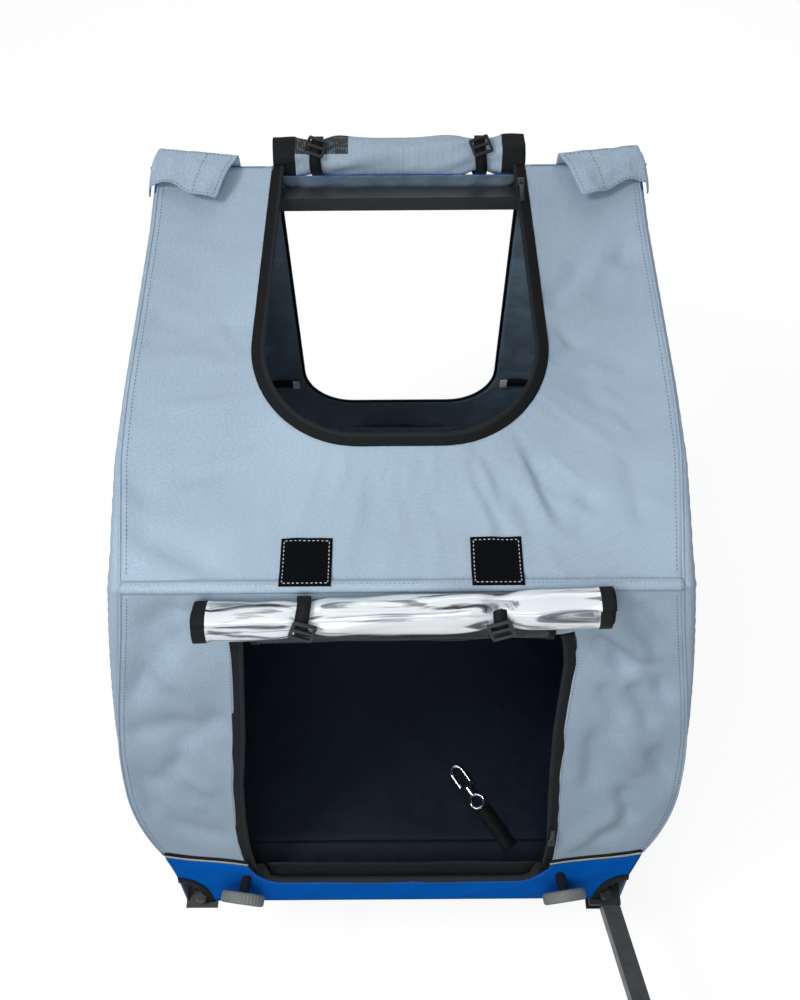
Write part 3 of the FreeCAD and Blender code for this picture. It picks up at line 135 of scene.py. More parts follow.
# Half widths of the door's inner edge by height above the base tubes: it hangs uneven on the two sides.
DOOR_SIDES = {
    -1: ((60, 178), (80, 182), (105, 185), (156, 185), (218, 181), (290, 171), (357, 165), (432, 158)),
    1: (
        (60, 169), (88, 172), (116, 173), (183, 168), (244, 165), (302, 163), (345, 164), (394, 165),
        (422, 161), (440, 155),
    ),
}
DOOR_HEAD_RISE = SEAM_RISE - mm(58)
DOOR_FOOT_RISE = mm(47)
DOOR_CORNER = mm(34)
# The line between the grey panel and the blue sill, by distance from the middle.
SILL_LINE = ((0, 73), (180, 73), (286, 93), (320, 93))
ROOF_WINDOW = {"rear_half": mm(130), "front_half": mm(148), "front": mm(156), "corner": mm(100)}
REAR_WINDOW = {"half": mm(140), "foot": mm(175), "head_drop": mm(50), "corner": mm(70)}
# Half the length of the hems under the front and the rear.
HEM_HALF = mm(230)
# Distance from one pucker of the gathered side strip to the next.
PUCKER = mm(23)
# The draw that bends the creases, fixed so that every run gives the same ones.
CREASE_DRAW = 1795889360
# A different number for each cloth, so that no two crease alike.
CREASE_SEEDS = {
    "front right": 3.1, "front left": 11.7, "sill": 21.3, "roof": 5.9, "rear": 31.4, "side": 41.7,
    "mat": 51.2,
}

GREY, BLUE = "coated polyester, grey", "coated polyester, blue"
LINING, MAT = "coated polyester, navy lining", "coated polyester, floor"
ZIP_TAPE, WEBBING, MESH = "nylon zip tape", "nylon webbing", "polyester mesh, black"
DARK_THREAD, SILVER_TAPE_AND_PAINTED_GLINT = "polyester thread, dark", "reflective tape and painted glint, silver"
NYLON = "moulded nylon, black"


def linear(code):
    """An sRGB hex colour as linear red, green and blue."""
    values = [int(code[i : i + 2], 16) / 255 for i in (1, 3, 5)]
    return tuple(v / 12.92 if v <= 0.04045 else ((v + 0.055) / 1.055) ** 2.4 for v in values)


def colour_property(name, code, description):
    return bpy.props.FloatVectorProperty(
        name=name, description=description, subtype="COLOR", size=3, min=0, max=1, default=linear(code)
    )


def length_property(name, value, description):
    return bpy.props.FloatProperty(
        name=name, description=description, subtype="DISTANCE", unit="LENGTH", min=0, default=value
    )


class TrailerColours(bpy.types.PropertyGroup):
    grey_cloth: colour_property("Grey cloth", "#a1b5c6", "Roof and front panels")
    blue_cloth: colour_property("Blue cloth", "#0463c4", "Sill, sides and rear")
    # Painted light: the lining is given a paler blue grey than its own navy, to stand in for light inside the
    # cabin.
    lining_with_painted_light: colour_property("Navy lining", "#667a8b", "Inside of the cabin")
    floor_cloth: colour_property("Floor cloth", "#0a1422", "Mat on the floor")
    black_tape: colour_property("Black tape", "#0e1214", "Zip tape, webbing and ties")
    pale_thread: colour_property("Pale thread", "#c3c9cd", "Stitches along tapes and patches")
    dark_thread: colour_property("Dark thread", "#63707b", "Stitches in the grey cloth")
    # Painted reflection: the clear film is given a near-white colour that stands in for the sky it mirrors.
    clear_film: colour_property("Clear film", "#e9eff1", "Rolled door window")
    # The silver band's colour is also the painted highlight on one bumper's rim.
    silver_band: colour_property("Silver band", "#b5babd", "Reflective piping")
    grey_rubber: colour_property("Grey rubber", "#7b7f7f", "Front bumpers")
    black_coat: colour_property("Black coat", "#2a2d30", "Powder-coated frame tubes")
    grey_coat: colour_property("Grey coat", "#3b3e40", "Powder-coated tow bar")


class TrailerSizes(bpy.types.PropertyGroup):
    cloth: length_property("Cloth", mm(1.2), "Thickness of the coated cloth")
    front_crease: length_property("Front creases", mm(4.0), "Height of the creases in the front panel")
    roof_crease: length_property("Roof creases", mm(3.6), "Height of the creases in the roof")
    side_crease: length_property("Side creases", mm(5.0), "Height of the creases in the sides")
    edge_strip: length_property("Edge strip", mm(34), "Width of the grey strip round the sides")
    tape_width: length_property("Tape width", mm(10), "Width of the zip tapes that shows")
    stitch_length: length_property("Stitch length", mm(2.6), "Length of one stitch")
    stitch_pitch: length_property("Stitch pitch", mm(4.4), "Distance from one stitch to the next")
    stitch_width: length_property("Stitch width", mm(0.8), "Width of one stitch")


class TrailerStage(bpy.types.PropertyGroup):
    lens: bpy.props.FloatProperty(name="Lens", description="Focal length on a 36 mm sensor", default=34.13)
    pitch: bpy.props.FloatProperty(
        name="Pitch", description="Angle of view below the horizon", subtype="ANGLE", default=math.radians(57)
    )
    roll: bpy.props.FloatProperty(
        name="Roll",
        description="Turn of the camera about its view",
        subtype="ANGLE",
        default=math.radians(-0.4),
    )
    camera_ahead: length_property("Camera ahead", 0.231, "Distance of the camera ahead of the cabin's foot")
    camera_height: length_property("Camera height", 1.506, "Height of the camera above the floor")
    camera_side: bpy.props.FloatProperty(
        name="Camera side", description="Offset of the camera to the side", unit="LENGTH", default=mm(-1)
    )


# Shared mesh tools.


def between(start, stop, count):
    """Even steps from one value to another, both included."""
    return [start + (stop - start) * i / count for i in range(count + 1)]


def in_metres(pairs):
    return [(mm(a), mm(b)) for a, b in pairs]


def strip_profile(left, right, low, high):
    """Outline of a flat strip across and up, given in millimetres."""
    return in_metres([(left, low), (left, high), (right, high), (right, low)])


def along_table(table, value):
    """A value read from a table of (place, value) pairs in millimetres, on straight runs."""
    value = value * 1000
    for (a, start), (b, stop) in zip(table, table[1:]):
        if value <= b:
            return mm(start + (stop - start) * max(value - a, 0) / (b - a))
    return mm(table[-1][1])


def on_arc(start, middle, stop, height):
    """Half width at a height on the arc through three (half width, height) places."""
    (ax, az), (bx, bz), (cx, cz) = start, middle, stop
    twist = 2 * (ax * (bz - cz) + bx * (cz - az) + cx * (az - bz))
    a, b, c = ax**2 + az**2, bx**2 + bz**2, cx**2 + cz**2
    middle_x = (a * (bz - cz) + b * (cz - az) + c * (az - bz)) / twist
    middle_z = (a * (cx - bx) + b * (ax - cx) + c * (bx - ax)) / twist
    radius = math.hypot(ax - middle_x, az - middle_z)
    return middle_x + math.sqrt(radius**2 - (height - middle_z) ** 2)


def half_width(rise):
    """Half the cabin's width at a height above the base tubes."""
    height = min(max(rise * 1000, FOOT[1]), SEAM_END[1])
    if height < SILL[1]:
        return along_table((FOOT[::-1], SILL[::-1]), rise)
    arc = (SILL, SWELL, BELLY) if height < BELLY[1] else (BELLY, SHOULDER, SEAM_END)
    return mm(on_arc(*arc, height))


def roof_half(run):
    """Half the cabin's width at the roof, at a distance behind the front seam."""
    return along_table(ROOF_PLAN, run)


def turn_in(rise):
    """How far the gathered strip of the side turns in over the front and roof edges."""
    return mm(13) * ease((rise - mm(230)) / mm(230))


def roof_turn(run):
    """The same along the roof, where the strip draws back to the rear."""
    return mm(13) - mm(8) * ease(run / mm(210))


def front_point(x, rise):
    return Vector((x, FRONT_Y + rise * LEAN, BASE_Z + rise))


def roof_point(x, run):
    return Vector((x, SEAM_Y + run, SEAM_Z + run * SLOPE))


def rear_point(x, rise):
    return Vector((x, REAR_Y, BASE_Z + rise))


def ease(t):
    t = min(max(t, 0.0), 1.0)
    return t * t * (3 - 2 * t)


def crease(point, seed, height):
    """Height of soft folds at a point, from noise bent by more noise."""
    bend = noise.noise_vector(point * 5.0 + Vector((seed, 0, seed * 0.7)))
    spot = point * 9.0 + bend * 0.9 + Vector((0, seed * 1.3, seed))
    ridge = (1 - abs(noise.noise(spot))) ** 3
    fine = (1 - abs(noise.noise(spot * 2.3 + Vector((7, 1, 3))))) ** 4
    return height * (ridge * 0.8 + fine * 0.3 - 0.45)


def folded(x, y, folds):
    """Height of the hanging folds at a flat place: each has one steep flank and one easy one."""
    x, y = x * 1000, y * 1000
    total = 0.0
    for (ax, ay), (bx, by), wide, high in folds:
        dx, dy = bx - ax, by - ay
        length = math.hypot(dx, dy)
        along = ((x - ax) * dx + (y - ay) * dy) / length
        off = ((x - ax) * dy - (y - ay) * dx) / length
        if -wide < along < length + wide and abs(off) < 4 * wide:
            off += 0.3 * wide * noise.noise(Vector((along / 14, ax, ay)))
            taper = ease(min(along + wide, length + wide - along) / (2 * wide))
            total += 1.5 * high * taper * math.exp(-((off / (wide * (0.5 if off > 0 else 1.4))) ** 2))
    return mm(total)


def grid_faces(height, width, closed):
    """Faces between rows of points, the last of a row joined to its first when closed."""
    faces = []
    for i in range(height - 1):
        for j in range(width if closed else width - 1):
            k = (j + 1) % width
            faces.append((i * width + j, i * width + k, (i + 1) * width + k, (i + 1) * width + j))
    return faces


def slackened(rows, slack, closed=False, frames=26, fixed=()):
    """Lets a sheet held at its edges buckle as cloth cut a little too large, in a short cloth run."""
    scene = bpy.context.scene
    height, width = len(rows), len(rows[0])
    mesh = bpy.data.meshes.new("slack")
    mesh.from_pydata([tuple(p) for row in rows for p in row], [], grid_faces(height, width, closed))
    sheet = bpy.data.objects.new("slack", mesh)
    scene.collection.objects.link(sheet)
    rim = [
        i * width + j
        for i in range(height)
        for j in range(width)
        if i in (0, height - 1) or (not closed and j in (0, width - 1)) or (i, j) in fixed
    ]
    sheet.vertex_groups.new(name="held").add(rim, 1.0, "REPLACE")
    cloth = sheet.modifiers.new("slack", "CLOTH")
    cloth.settings.vertex_group_mass = "held"
    cloth.settings.quality = 5
    cloth.settings.mass = 0.12
    cloth.settings.tension_stiffness = 25
    cloth.settings.compression_stiffness = 25
    cloth.settings.shear_stiffness = 12
    cloth.settings.bending_stiffness = 0.6
    cloth.settings.shrink_min = -slack
    cloth.settings.effector_weights.gravity = 0.15
    cloth.point_cache.frame_start = 1
    cloth.point_cache.frame_end = frames
    for frame_number in range(1, frames + 1):
        scene.frame_set(frame_number)
    shaped = sheet.evaluated_get(bpy.context.evaluated_depsgraph_get())
    points = [v.co.copy() for v in shaped.to_mesh().vertices]
    shaped.to_mesh_clear()
    bpy.data.objects.remove(sheet)
    bpy.data.meshes.remove(mesh)
    scene.frame_set(1)
    return [points[i * width : (i + 1) * width] for i in range(height)]


def smoothed(rows, closed=False, turns=1):
    """Rows with inner points drawn toward the mean of their neighbours, as stiff cloth rounds its folds."""
    height, width = len(rows), len(rows[0])
    for _ in range(turns):
        made = [list(row) for row in rows]
        for i in range(1, height - 1):
            for j in range(0 if closed else 1, width if closed else width - 1):
                around = rows[i - 1][j] + rows[i + 1][j] + rows[i][j - 1] + rows[i][(j + 1) % width]
                made[i][j] = rows[i][j] * 0.5 + around * 0.125
        rows = made
    return rows


def laid_on(made, points, out):
    """Points moved along a direction onto the outer face of a piece."""
    tree = BVHTree.FromPolygons([v.co for v in made.data.vertices], [p.vertices for p in made.data.polygons])
    spots = []
    for p in points:
        hit = tree.ray_cast(p + out * mm(40), -out, mm(80))[0]
        spots.append(p if hit is None else hit)
    return spots


def piece(name, vertices, faces, materials, face_materials=None, uvs=None):
    """A smooth shaded mesh object."""
    mesh = bpy.data.meshes.new(name)
    mesh.from_pydata([tuple(v) for v in vertices], [], faces)
    for material in materials:
        mesh.materials.append(bpy.data.materials[material])
    if face_materials:
        mesh.polygons.foreach_set("material_index", face_materials)
    if uvs:
        layer = mesh.uv_layers.new(name="cloth")
        for loop in mesh.loops:
            layer.data[loop.index].uv = uvs[loop.vertex_index]
    mesh.polygons.foreach_set("use_smooth", [True] * len(mesh.polygons))
    mesh.update()
    made = bpy.data.objects.new(name, mesh)
    bpy.context.scene.collection.objects.link(made)
    return made


def on_base(made, slot, nodes=(), body="base"):
    """Fixes a piece to a body, in place of the nodes that it shows."""
    if nodes:
        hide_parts(*nodes)
    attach(made, body)


def on_cover(made, slot, nodes=(), body="base"):
    """Fixes a piece to a body, in place of the nodes that it shows, and gives it a mesh of its own."""
    on_base(made, slot, nodes, body)
    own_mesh(made)


def cloth_from_rows(name, rows, materials, thickness, closed=False, flip=False, pick=None):
    """A cloth sheet from rows of points: material 0 outside, 1 inside, and others where pick says so."""
    height, width = len(rows), len(rows[0])
    span = range(width if closed else width - 1)
    points = [p for row in rows for p in row]
    uvs = []
    for row in rows:
        run = 0.0
        for j, p in enumerate(row):
            run += (p - row[j - 1]).length if j else 0.0
            uvs.append((run, (p - rows[0][j]).length))
    faces = [quad[::-1] if flip else quad for quad in grid_faces(height, width, closed)]
    kinds = [pick(i, j) if pick else 0 for i in range(height - 1) for j in span]
    skin = bpy.data.meshes.new("skin")
    skin.from_pydata([tuple(p) for p in points], [], faces)
    skin.update()
    normals = [Vector(n.vector) for n in skin.vertex_normals]
    bpy.data.meshes.remove(skin)
    count = len(points)
    points += [p - n * thickness for p, n in zip(points, normals)]
    uvs += uvs[:count]
    outer = len(faces)
    faces += [tuple(v + count for v in reversed(face)) for face in faces[:outer]]
    kinds += [1] * outer
    edges = []
    for j in span:
        k = (j + 1) % width
        edges += [(j, k), ((height - 1) * width + k, (height - 1) * width + j)]
    if not closed:
        for i in range(height - 1):
            edges += [((i + 1) * width, i * width), (i * width + width - 1, (i + 1) * width + width - 1)]
    for a, b in edges:
        rim = (b, a, a + count, b + count)
        faces.append(rim[::-1] if flip else rim)
        kinds.append(0)
    return piece(name, points, faces, materials, kinds, uvs)


def declare_cloth(made, width, length, held, rests_on):
    """Works out the area of one of a sheet's two faces, openings left out and bounded by its flat size, and
    keeps it nowhere.
    """
    area = min(sum(p.area for p in made.data.polygons) / 2, width * length)
    area = max(area, LEAST_AREA * width * length)
    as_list(rests_on)


def sweep(name, path, outs, profile, materials, closed=False, pick=None):
    """A band along a path: its profile is a closed outline of (across, up) pairs, and outs point outward."""
    count = len(path)
    vertices, uvs = [], []
    run = 0.0
    for i, p in enumerate(path):
        before = path[i - 1] if i or closed else path[i]
        after = path[(i + 1) % count] if i + 1 < count or closed else path[i]
        tangent = (after - before).normalized()
        up = outs[i] if isinstance(outs, list) else outs
        across = tangent.cross(up).normalized()
        run += (p - path[i - 1]).length if i else 0.0
        for a, b in profile:
            vertices.append(p + across * a + up * b)
            uvs.append((run, a))
    sides = len(profile)
    faces, kinds = [], []
    for i in range(count if closed else count - 1):
        n = (i + 1) % count
        for s in range(sides):
            t = (s + 1) % sides
            faces.append((i * sides + s, i * sides + t, n * sides + t, n * sides + s))
            kinds.append(pick(s) if pick else 0)
    if not closed:
        faces.append(tuple(range(sides))[::-1])
        faces.append(tuple((count - 1) * sides + s for s in range(sides)))
        kinds += [0, 0]
    return piece(name, vertices, faces, materials, kinds, uvs)


def resample(points, step, closed=False):
    """Points at even steps along a line of straight runs."""
    line = list(points) + ([points[0]] if closed else [])
    total = sum((b - a).length for a, b in zip(line, line[1:]))
    count = max(2, round(total / step))
    made, walked, index = [], 0.0, 0
    for number in range(count + (0 if closed else 1)):
        target = total * number / count
        while index < len(line) - 2 and walked + (line[index + 1] - line[index]).length < target - 1e-9:
            walked += (line[index + 1] - line[index]).length
            index += 1
        run = (line[index + 1] - line[index]).length
        made.append(line[index].lerp(line[index + 1], min(1.0, (target - walked) / max(run, 1e-9))))
    return made


def stitch_rows(name, lines, material, lift=mm(0.3)):
    """Short raised stitches along lines of (points, out) pairs."""
    sizes = bpy.context.scene.trailer_sizes
    vertices, faces = [], []
    for points, out in lines:
        spots = resample(points, sizes.stitch_pitch)
        for a, b in zip(spots, spots[1:]):
            tangent = (b - a).normalized()
            across = tangent.cross(out).normalized() * (sizes.stitch_width / 2)
            middle = (a + b) / 2 + out * lift
            half = tangent * (sizes.stitch_length / 2)
            crown = out * (sizes.stitch_width * 0.5)
            start = len(vertices)
            flank = half * 0.6
            vertices += [middle - half, middle + across - flank, middle + across + flank, middle + half]
            vertices += [middle - across + flank, middle - across - flank]
            vertices += [middle - half * 0.55 + crown, middle + half * 0.55 + crown]
            for face in ((0, 1, 6), (1, 2, 7, 6), (2, 3, 7), (3, 4, 7), (4, 5, 6, 7), (5, 0, 6)):
                faces.append(tuple(start + v for v in face))
    return piece(name, vertices, faces, [material])


def box_parts(name, blocks, material, bevel):
    """One piece of several bevelled blocks, each a (centre, half sizes, turn) triple."""
    vertices, faces = [], []
    for centre, half, turn in blocks:
        start = len(vertices)
        for z in (-1, 1):
            for x, y in ((-1, -1), (1, -1), (1, 1), (-1, 1)):
                vertices.append(centre + turn @ Vector((x * half[0], y * half[1], z * half[2])))
        for face in ((3, 2, 1, 0), (4, 5, 6, 7), (0, 1, 5, 4), (1, 2, 6, 5), (2, 3, 7, 6), (3, 0, 4, 7)):
            faces.append(tuple(start + v for v in face))
    made = piece(name, vertices, faces, [material])
    return settled(made, "BEVEL", width=bevel, segments=3, limit_method="ANGLE")


def settled(made, kind, **settings):
    """Adds a modifier to a piece and keeps its result as the mesh."""
    modifier = made.modifiers.new(kind.lower(), kind)
    for key, value in settings.items():
        setattr(modifier, key, value)
    graph = bpy.context.evaluated_depsgraph_get()
    mesh = bpy.data.meshes.new_from_object(made.evaluated_get(graph))
    made.modifiers.clear()
    old = made.data
    made.data = mesh
    mesh.name = made.name
    bpy.data.meshes.remove(old)
    return made


def turned(name, profile, segments, materials, place, rib, pick):
    """A turned form about its own Z axis: (radius, height) pairs, with ribs as a share of the radius."""
    vertices, faces, kinds = [], [], []
    for s in range(segments):
        angle = 2 * math.pi * s / segments
        for number, (radius, height) in enumerate(profile):
            reach = radius * rib(number, angle)
            vertices.append(place @ Vector((reach * math.cos(angle), reach * math.sin(angle), height)))
    rows = len(profile)
    for s in range(segments):
        n = (s + 1) % segments
        for r in range(rows - 1):
            faces.append((s * rows + r, n * rows + r, n * rows + r + 1, s * rows + r + 1))
            kinds.append(pick(r, s))
    return piece(name, vertices, faces, materials, kinds)


# Openings.


def door_edge(side, rise):
    """Distance of the door's inner edge from the middle, at a height above the base tubes."""
    return along_table(DOOR_SIDES[side], rise)


def sill_rise(x):
    """Height of the line between the grey panel and the blue sill."""
    return along_table(SILL_LINE, abs(x))


def door_path(grow):
    """The door's edge as (x, rise) pairs, from its head down one side, round the foot and up the other."""
    bend = DOOR_FOOT_RISE + DOOR_CORNER
    reach = DOOR_CORNER + grow
    halves = []
    for side in (-1, 1):
        rises = between(DOOR_HEAD_RISE, bend, 50)
        half = [(side * (door_edge(side, rise) + grow), rise) for rise in rises]
        corner = door_edge(side, bend) + grow - reach
        for angle in between(0, math.pi / 2, 12)[1:]:
            half.append((side * (corner + reach * math.cos(angle)), bend - reach * math.sin(angle)))
        halves.append(half)
    return halves[0] + halves[1][::-1]


def roof_window_loop(grow):
    """The roof window's edge as (x, run) pairs: down one side, round the front and up the other."""
    top = ROOF_RUN
    low = ROOF_WINDOW["front"] - grow
    rear, front = ROOF_WINDOW["rear_half"] + grow, ROOF_WINDOW["front_half"] + grow
    reach = ROOF_WINDOW["corner"] + grow
    line = []
    for run in between(top, low + reach, 30):
        line.append((-(front + (rear - front) * (run - low) / (top - low)), run))
    last = line[-1][0]
    for angle in between(0, math.pi / 2, 18)[1:]:
        line.append((last + reach * (1 - math.cos(angle)), low + reach * (1 - math.sin(angle))))
    return line + [(-x, run) for x, run in reversed(line)]


def rear_window_loop():
    """The rear window's edge as (x, rise) pairs, in the same order."""
    top = TOP_RISE - REAR_WINDOW["head_drop"]
    low, half, reach = REAR_WINDOW["foot"], REAR_WINDOW["half"], REAR_WINDOW["corner"]
    line = [(-half, rise) for rise in between(top, low + reach, 24)]
    for angle in between(0, math.pi / 2, 14)[1:]:
        line.append((-half + reach * (1 - math.cos(angle)), low + reach * (1 - math.sin(angle))))
    return line + [(-x, rise) for x, rise in reversed(line)]


def ray_to_loop(loop, centre, target):
    """Where the line from a centre to a target leaves a loop, all as flat pairs."""
    cx, cy = centre
    dx, dy = target[0] - cx, target[1] - cy
    best = 1.0
    for (ax, ay), (bx, by) in zip(loop, loop[1:] + loop[:1]):
        ex, ey = bx - ax, by - ay
        det = dx * ey - dy * ex
        if abs(det) < 1e-12:
            continue
        t = ((ax - cx) * ey - (ay - cy) * ex) / det
        s = ((ax - cx) * dy - (ay - cy) * dx) / det
        if t > 0 and -1e-9 <= s <= 1 + 1e-9:
            best = min(best, t)
    return cx + dx * best, cy + dy * best


def rows_between(inner, outer, count, shape):
    """Rows of points from one flat line to another, each shaped by its place and the distance from both."""
    rows = []
    for i in range(count + 1):
        share = i / count
        row = []
        for (ax, ay), (bx, by) in zip(inner, outer):
            span = math.hypot(bx - ax, by - ay)
            near = min(span * share, span * (1 - share))
            row.append(shape(ax + (bx - ax) * share, ay + (by - ay) * share, near))
        rows.append(row)
    return rows


def outline_run(corners, step):
    """Points at about even steps along a flat line, its corners and both ends kept."""
    made = []
    for (ax, ay), (bx, by) in zip(corners, corners[1:]):
        count = max(1, round(math.hypot(bx - ax, by - ay) / step))
        made += [(ax + (bx - ax) * i / count, ay + (by - ay) * i / count) for i in range(count)]
    return made + [corners[-1]]


def spread_evenly(line, count):
    """A flat line cut into a number of even steps."""
    length = sum(math.hypot(bx - ax, by - ay) for (ax, ay), (bx, by) in zip(line, line[1:]))
    return [(p.x, p.y) for p in resample([Vector((x, y, 0)) for x, y in line], length / count)]


# Finishes.


def put(tree, kind, inputs=None, stops=(), **settings):
    """Adds a node: its settings, a ramp's stops, and sockets set or linked to (node, output) pairs."""
    made = tree.nodes.new(kind)
    for key, value in settings.items():
        setattr(made, key, value)
    for number, (place, colour) in enumerate(stops):
        ramp = made.color_ramp.elements
        stop = ramp[number] if number < len(ramp) else ramp.new(place)
        stop.position = place
        stop.color = colour
    for key, value in (inputs or {}).items():
        socket = made.inputs[key]
        if isinstance(value, tuple) and isinstance(value[0], bpy.types.Node):
            tree.links.new(value[0].outputs[value[1]], socket)
        else:
            socket.default_value = value
    return made


def open_material(name):
    """The empty node tree of a new material, and where in the solid and on the sheet a texture is read."""
    material = bpy.data.materials.new(name)
    material.use_nodes = True
    tree = material.node_tree
    tree.nodes.clear()
    place = put(tree, "ShaderNodeTexCoord")
    return tree, (place, "Object"), (place, "UV")


def close_material(tree, inputs):
    """Ends a material with one shader and its output."""
    shader = put(tree, "ShaderNodeBsdfPrincipled", inputs)
    put(tree, "ShaderNodeOutputMaterial", {"Surface": (shader, "BSDF")})


def rgba(colour, factor=1.0):
    return (*[min(1.0, c * factor) for c in colour[:3]], 1.0)


def two_tone(colour, dark, light, start=0.0, stop=1.0):
    """A ramp's stops from a darker to a lighter share of one colour."""
    return ((start, rgba(colour, dark)), (stop, rgba(colour, light)))


def band_scale(pitch):
    """Scale of a wave texture whose bands repeat at a pitch in metres."""
    return 2 * math.pi / 20 / pitch


def coated_cloth(name, colour, roughness, mottle, sheen, gloss, rumple=0.5):
    """Polyester cloth with a thin coating: a plain weave with a dull sheen and soft rumples."""
    tree, solid, sheet = open_material(name)
    # Threads of about half a millimetre are drawn twice as coarse, so that they show.
    threads = {"Vector": sheet, "Scale": band_scale(mm(1.1))}
    warp = put(tree, "ShaderNodeTexWave", threads, bands_direction="X")
    weft = put(tree, "ShaderNodeTexWave", threads, bands_direction="Y")
    weave = put(tree, "ShaderNodeMath", {0: (warp, "Fac"), 1: (weft, "Fac")}, operation="MULTIPLY")
    # Clouds a hand wide, and flecks of a few threads.
    cloud = put(tree, "ShaderNodeTexNoise", {"Vector": solid, "Scale": 1 / mm(111), "Detail": 5.0})
    slub = put(tree, "ShaderNodeTexNoise", {"Vector": sheet, "Scale": 1 / mm(2.38), "Detail": 2.0})
    stops = two_tone(colour, 1 - mottle, 1 + mottle, 0.3, 0.7)
    shade = put(tree, "ShaderNodeValToRGB", {"Fac": (cloud, "Fac")}, stops)
    fleck = put(tree, "ShaderNodeMapRange", {"Value": (slub, "Fac"), 1: 0.3, 2: 0.7, 3: 0.9, 4: 1.08})
    layers = {"Factor": 1.0, 6: (shade, "Color"), 7: (fleck, "Result")}
    mixed = put(tree, "ShaderNodeMix", layers, data_type="RGBA", blend_type="MULTIPLY")
    # Rumples two fingers wide.
    rumples = put(tree, "ShaderNodeTexNoise", {"Vector": solid, "Scale": 1 / mm(23.8), "Detail": 4.0})
    folds = put(tree, "ShaderNodeBump", {"Height": (rumples, "Fac"), "Strength": rumple, "Distance": mm(2.0)})
    raised = {"Height": (weave, "Value"), "Strength": 0.35, "Distance": mm(0.3), "Normal": (folds, "Normal")}
    grain = put(tree, "ShaderNodeBump", raised)
    close_material(tree, {
        "Base Color": (mixed, 2),
        "Normal": (grain, "Normal"),
        "Roughness": roughness,
        "Sheen Weight": sheen,
        "Sheen Roughness": 0.5,
        "Specular IOR Level": gloss,
    })


def woven_tape(name, colour, pitch, ribbed):
    """Woven nylon tape: close ribs along its length, almost matt, with specks of dust 6 mm apart."""
    tree, solid, sheet = open_material(name)
    threads = {"Vector": sheet, "Scale": band_scale(pitch)}
    ribs = put(tree, "ShaderNodeTexWave", threads, bands_direction="X" if ribbed else "Y")
    dust = put(tree, "ShaderNodeTexNoise", {"Vector": solid, "Scale": 1 / mm(6.25), "Detail": 3.0})
    shade = put(tree, "ShaderNodeValToRGB", {"Fac": (dust, "Fac")}, two_tone(colour, 0.7, 1.3))
    bump = put(tree, "ShaderNodeBump", {"Height": (ribs, "Fac"), "Strength": 0.6, "Distance": mm(0.4)})
    close_material(tree, {
        "Base Color": (shade, "Color"),
        "Normal": (bump, "Normal"),
        "Roughness": 0.72,
        "Specular IOR Level": 0.25,
    })


def coated_metal(name, colour, roughness):
    """Powder-coated steel: an orange-peel skin of 1 mm dimples, dulled by scuffs a thumb wide."""
    tree, solid, _ = open_material(name)
    peel = put(tree, "ShaderNodeTexNoise", {"Vector": solid, "Scale": 1 / mm(1.11), "Detail": 2.0})
    scuff = put(tree, "ShaderNodeTexNoise", {"Vector": solid, "Scale": 1 / mm(18.2), "Detail": 6.0})
    shade = put(tree, "ShaderNodeValToRGB", {"Fac": (scuff, "Fac")}, two_tone(colour, 0.85, 1.25, 0.35, 0.75))
    dulled = {"Value": (scuff, "Fac"), 1: 0.3, 2: 0.8, 3: roughness - 0.08, 4: roughness + 0.12}
    gloss = put(tree, "ShaderNodeMapRange", dulled)
    bump = put(tree, "ShaderNodeBump", {"Height": (peel, "Fac"), "Strength": 0.15, "Distance": mm(0.2)})
    close_material(tree, {
        "Base Color": (shade, "Color"),
        "Normal": (bump, "Normal"),
        "Roughness": (gloss, "Result"),
    })


def bright_metal(name, colour, roughness, brushed):
    """Bare or plated metal: a clean reflection, with fine lines where it was brushed."""
    tree, solid, _ = open_material(name)
    # Brushed lines are two thirds of a millimetre wide and 17 mm long; plating clouds over 8 mm.
    grain = (mm(0.667), mm(16.7), mm(16.7)) if brushed else (mm(8.33), mm(8.33), mm(8.33))
    stretch = put(tree, "ShaderNodeMapping", {"Vector": solid, "Scale": [1 / size for size in grain]})
    lines = put(tree, "ShaderNodeTexNoise", {"Vector": (stretch, "Vector"), "Scale": 1.0, "Detail": 3.0})
    dulled = {"Value": (lines, "Fac"), 1: 0.3, 2: 0.7, 3: roughness * 0.7, 4: roughness * 1.4}
    gloss = put(tree, "ShaderNodeMapRange", dulled)
    bump = put(tree, "ShaderNodeBump", {"Height": (lines, "Fac"), "Strength": 0.08, "Distance": mm(0.1)})
    close_material(tree, {
        "Base Color": rgba(colour),
        "Normal": (bump, "Normal"),
        "Roughness": (gloss, "Result"),
        "Metallic": 1.0,
    })


def moulded(name, colour, roughness, grit, depth):
    """Moulded plastic or rubber: a colour worn in patches of 22 mm, under a fine spark-eroded grain."""
    tree, solid, _ = open_material(name)
    grain = put(tree, "ShaderNodeTexNoise", {"Vector": solid, "Scale": 1 / grit, "Detail": 3.0})
    wear = put(tree, "ShaderNodeTexNoise", {"Vector": solid, "Scale": 1 / mm(22.2), "Detail": 4.0})
    shade = put(tree, "ShaderNodeValToRGB", {"Fac": (wear, "Fac")}, two_tone(colour, 0.82, 1.18, 0.3, 0.75))
    bump = put(tree, "ShaderNodeBump", {"Height": (grain, "Fac"), "Strength": 0.4, "Distance": depth})
    close_material(tree, {
        "Base Color": (shade, "Color"),
        "Normal": (bump, "Normal"),
        "Roughness": roughness,
    })


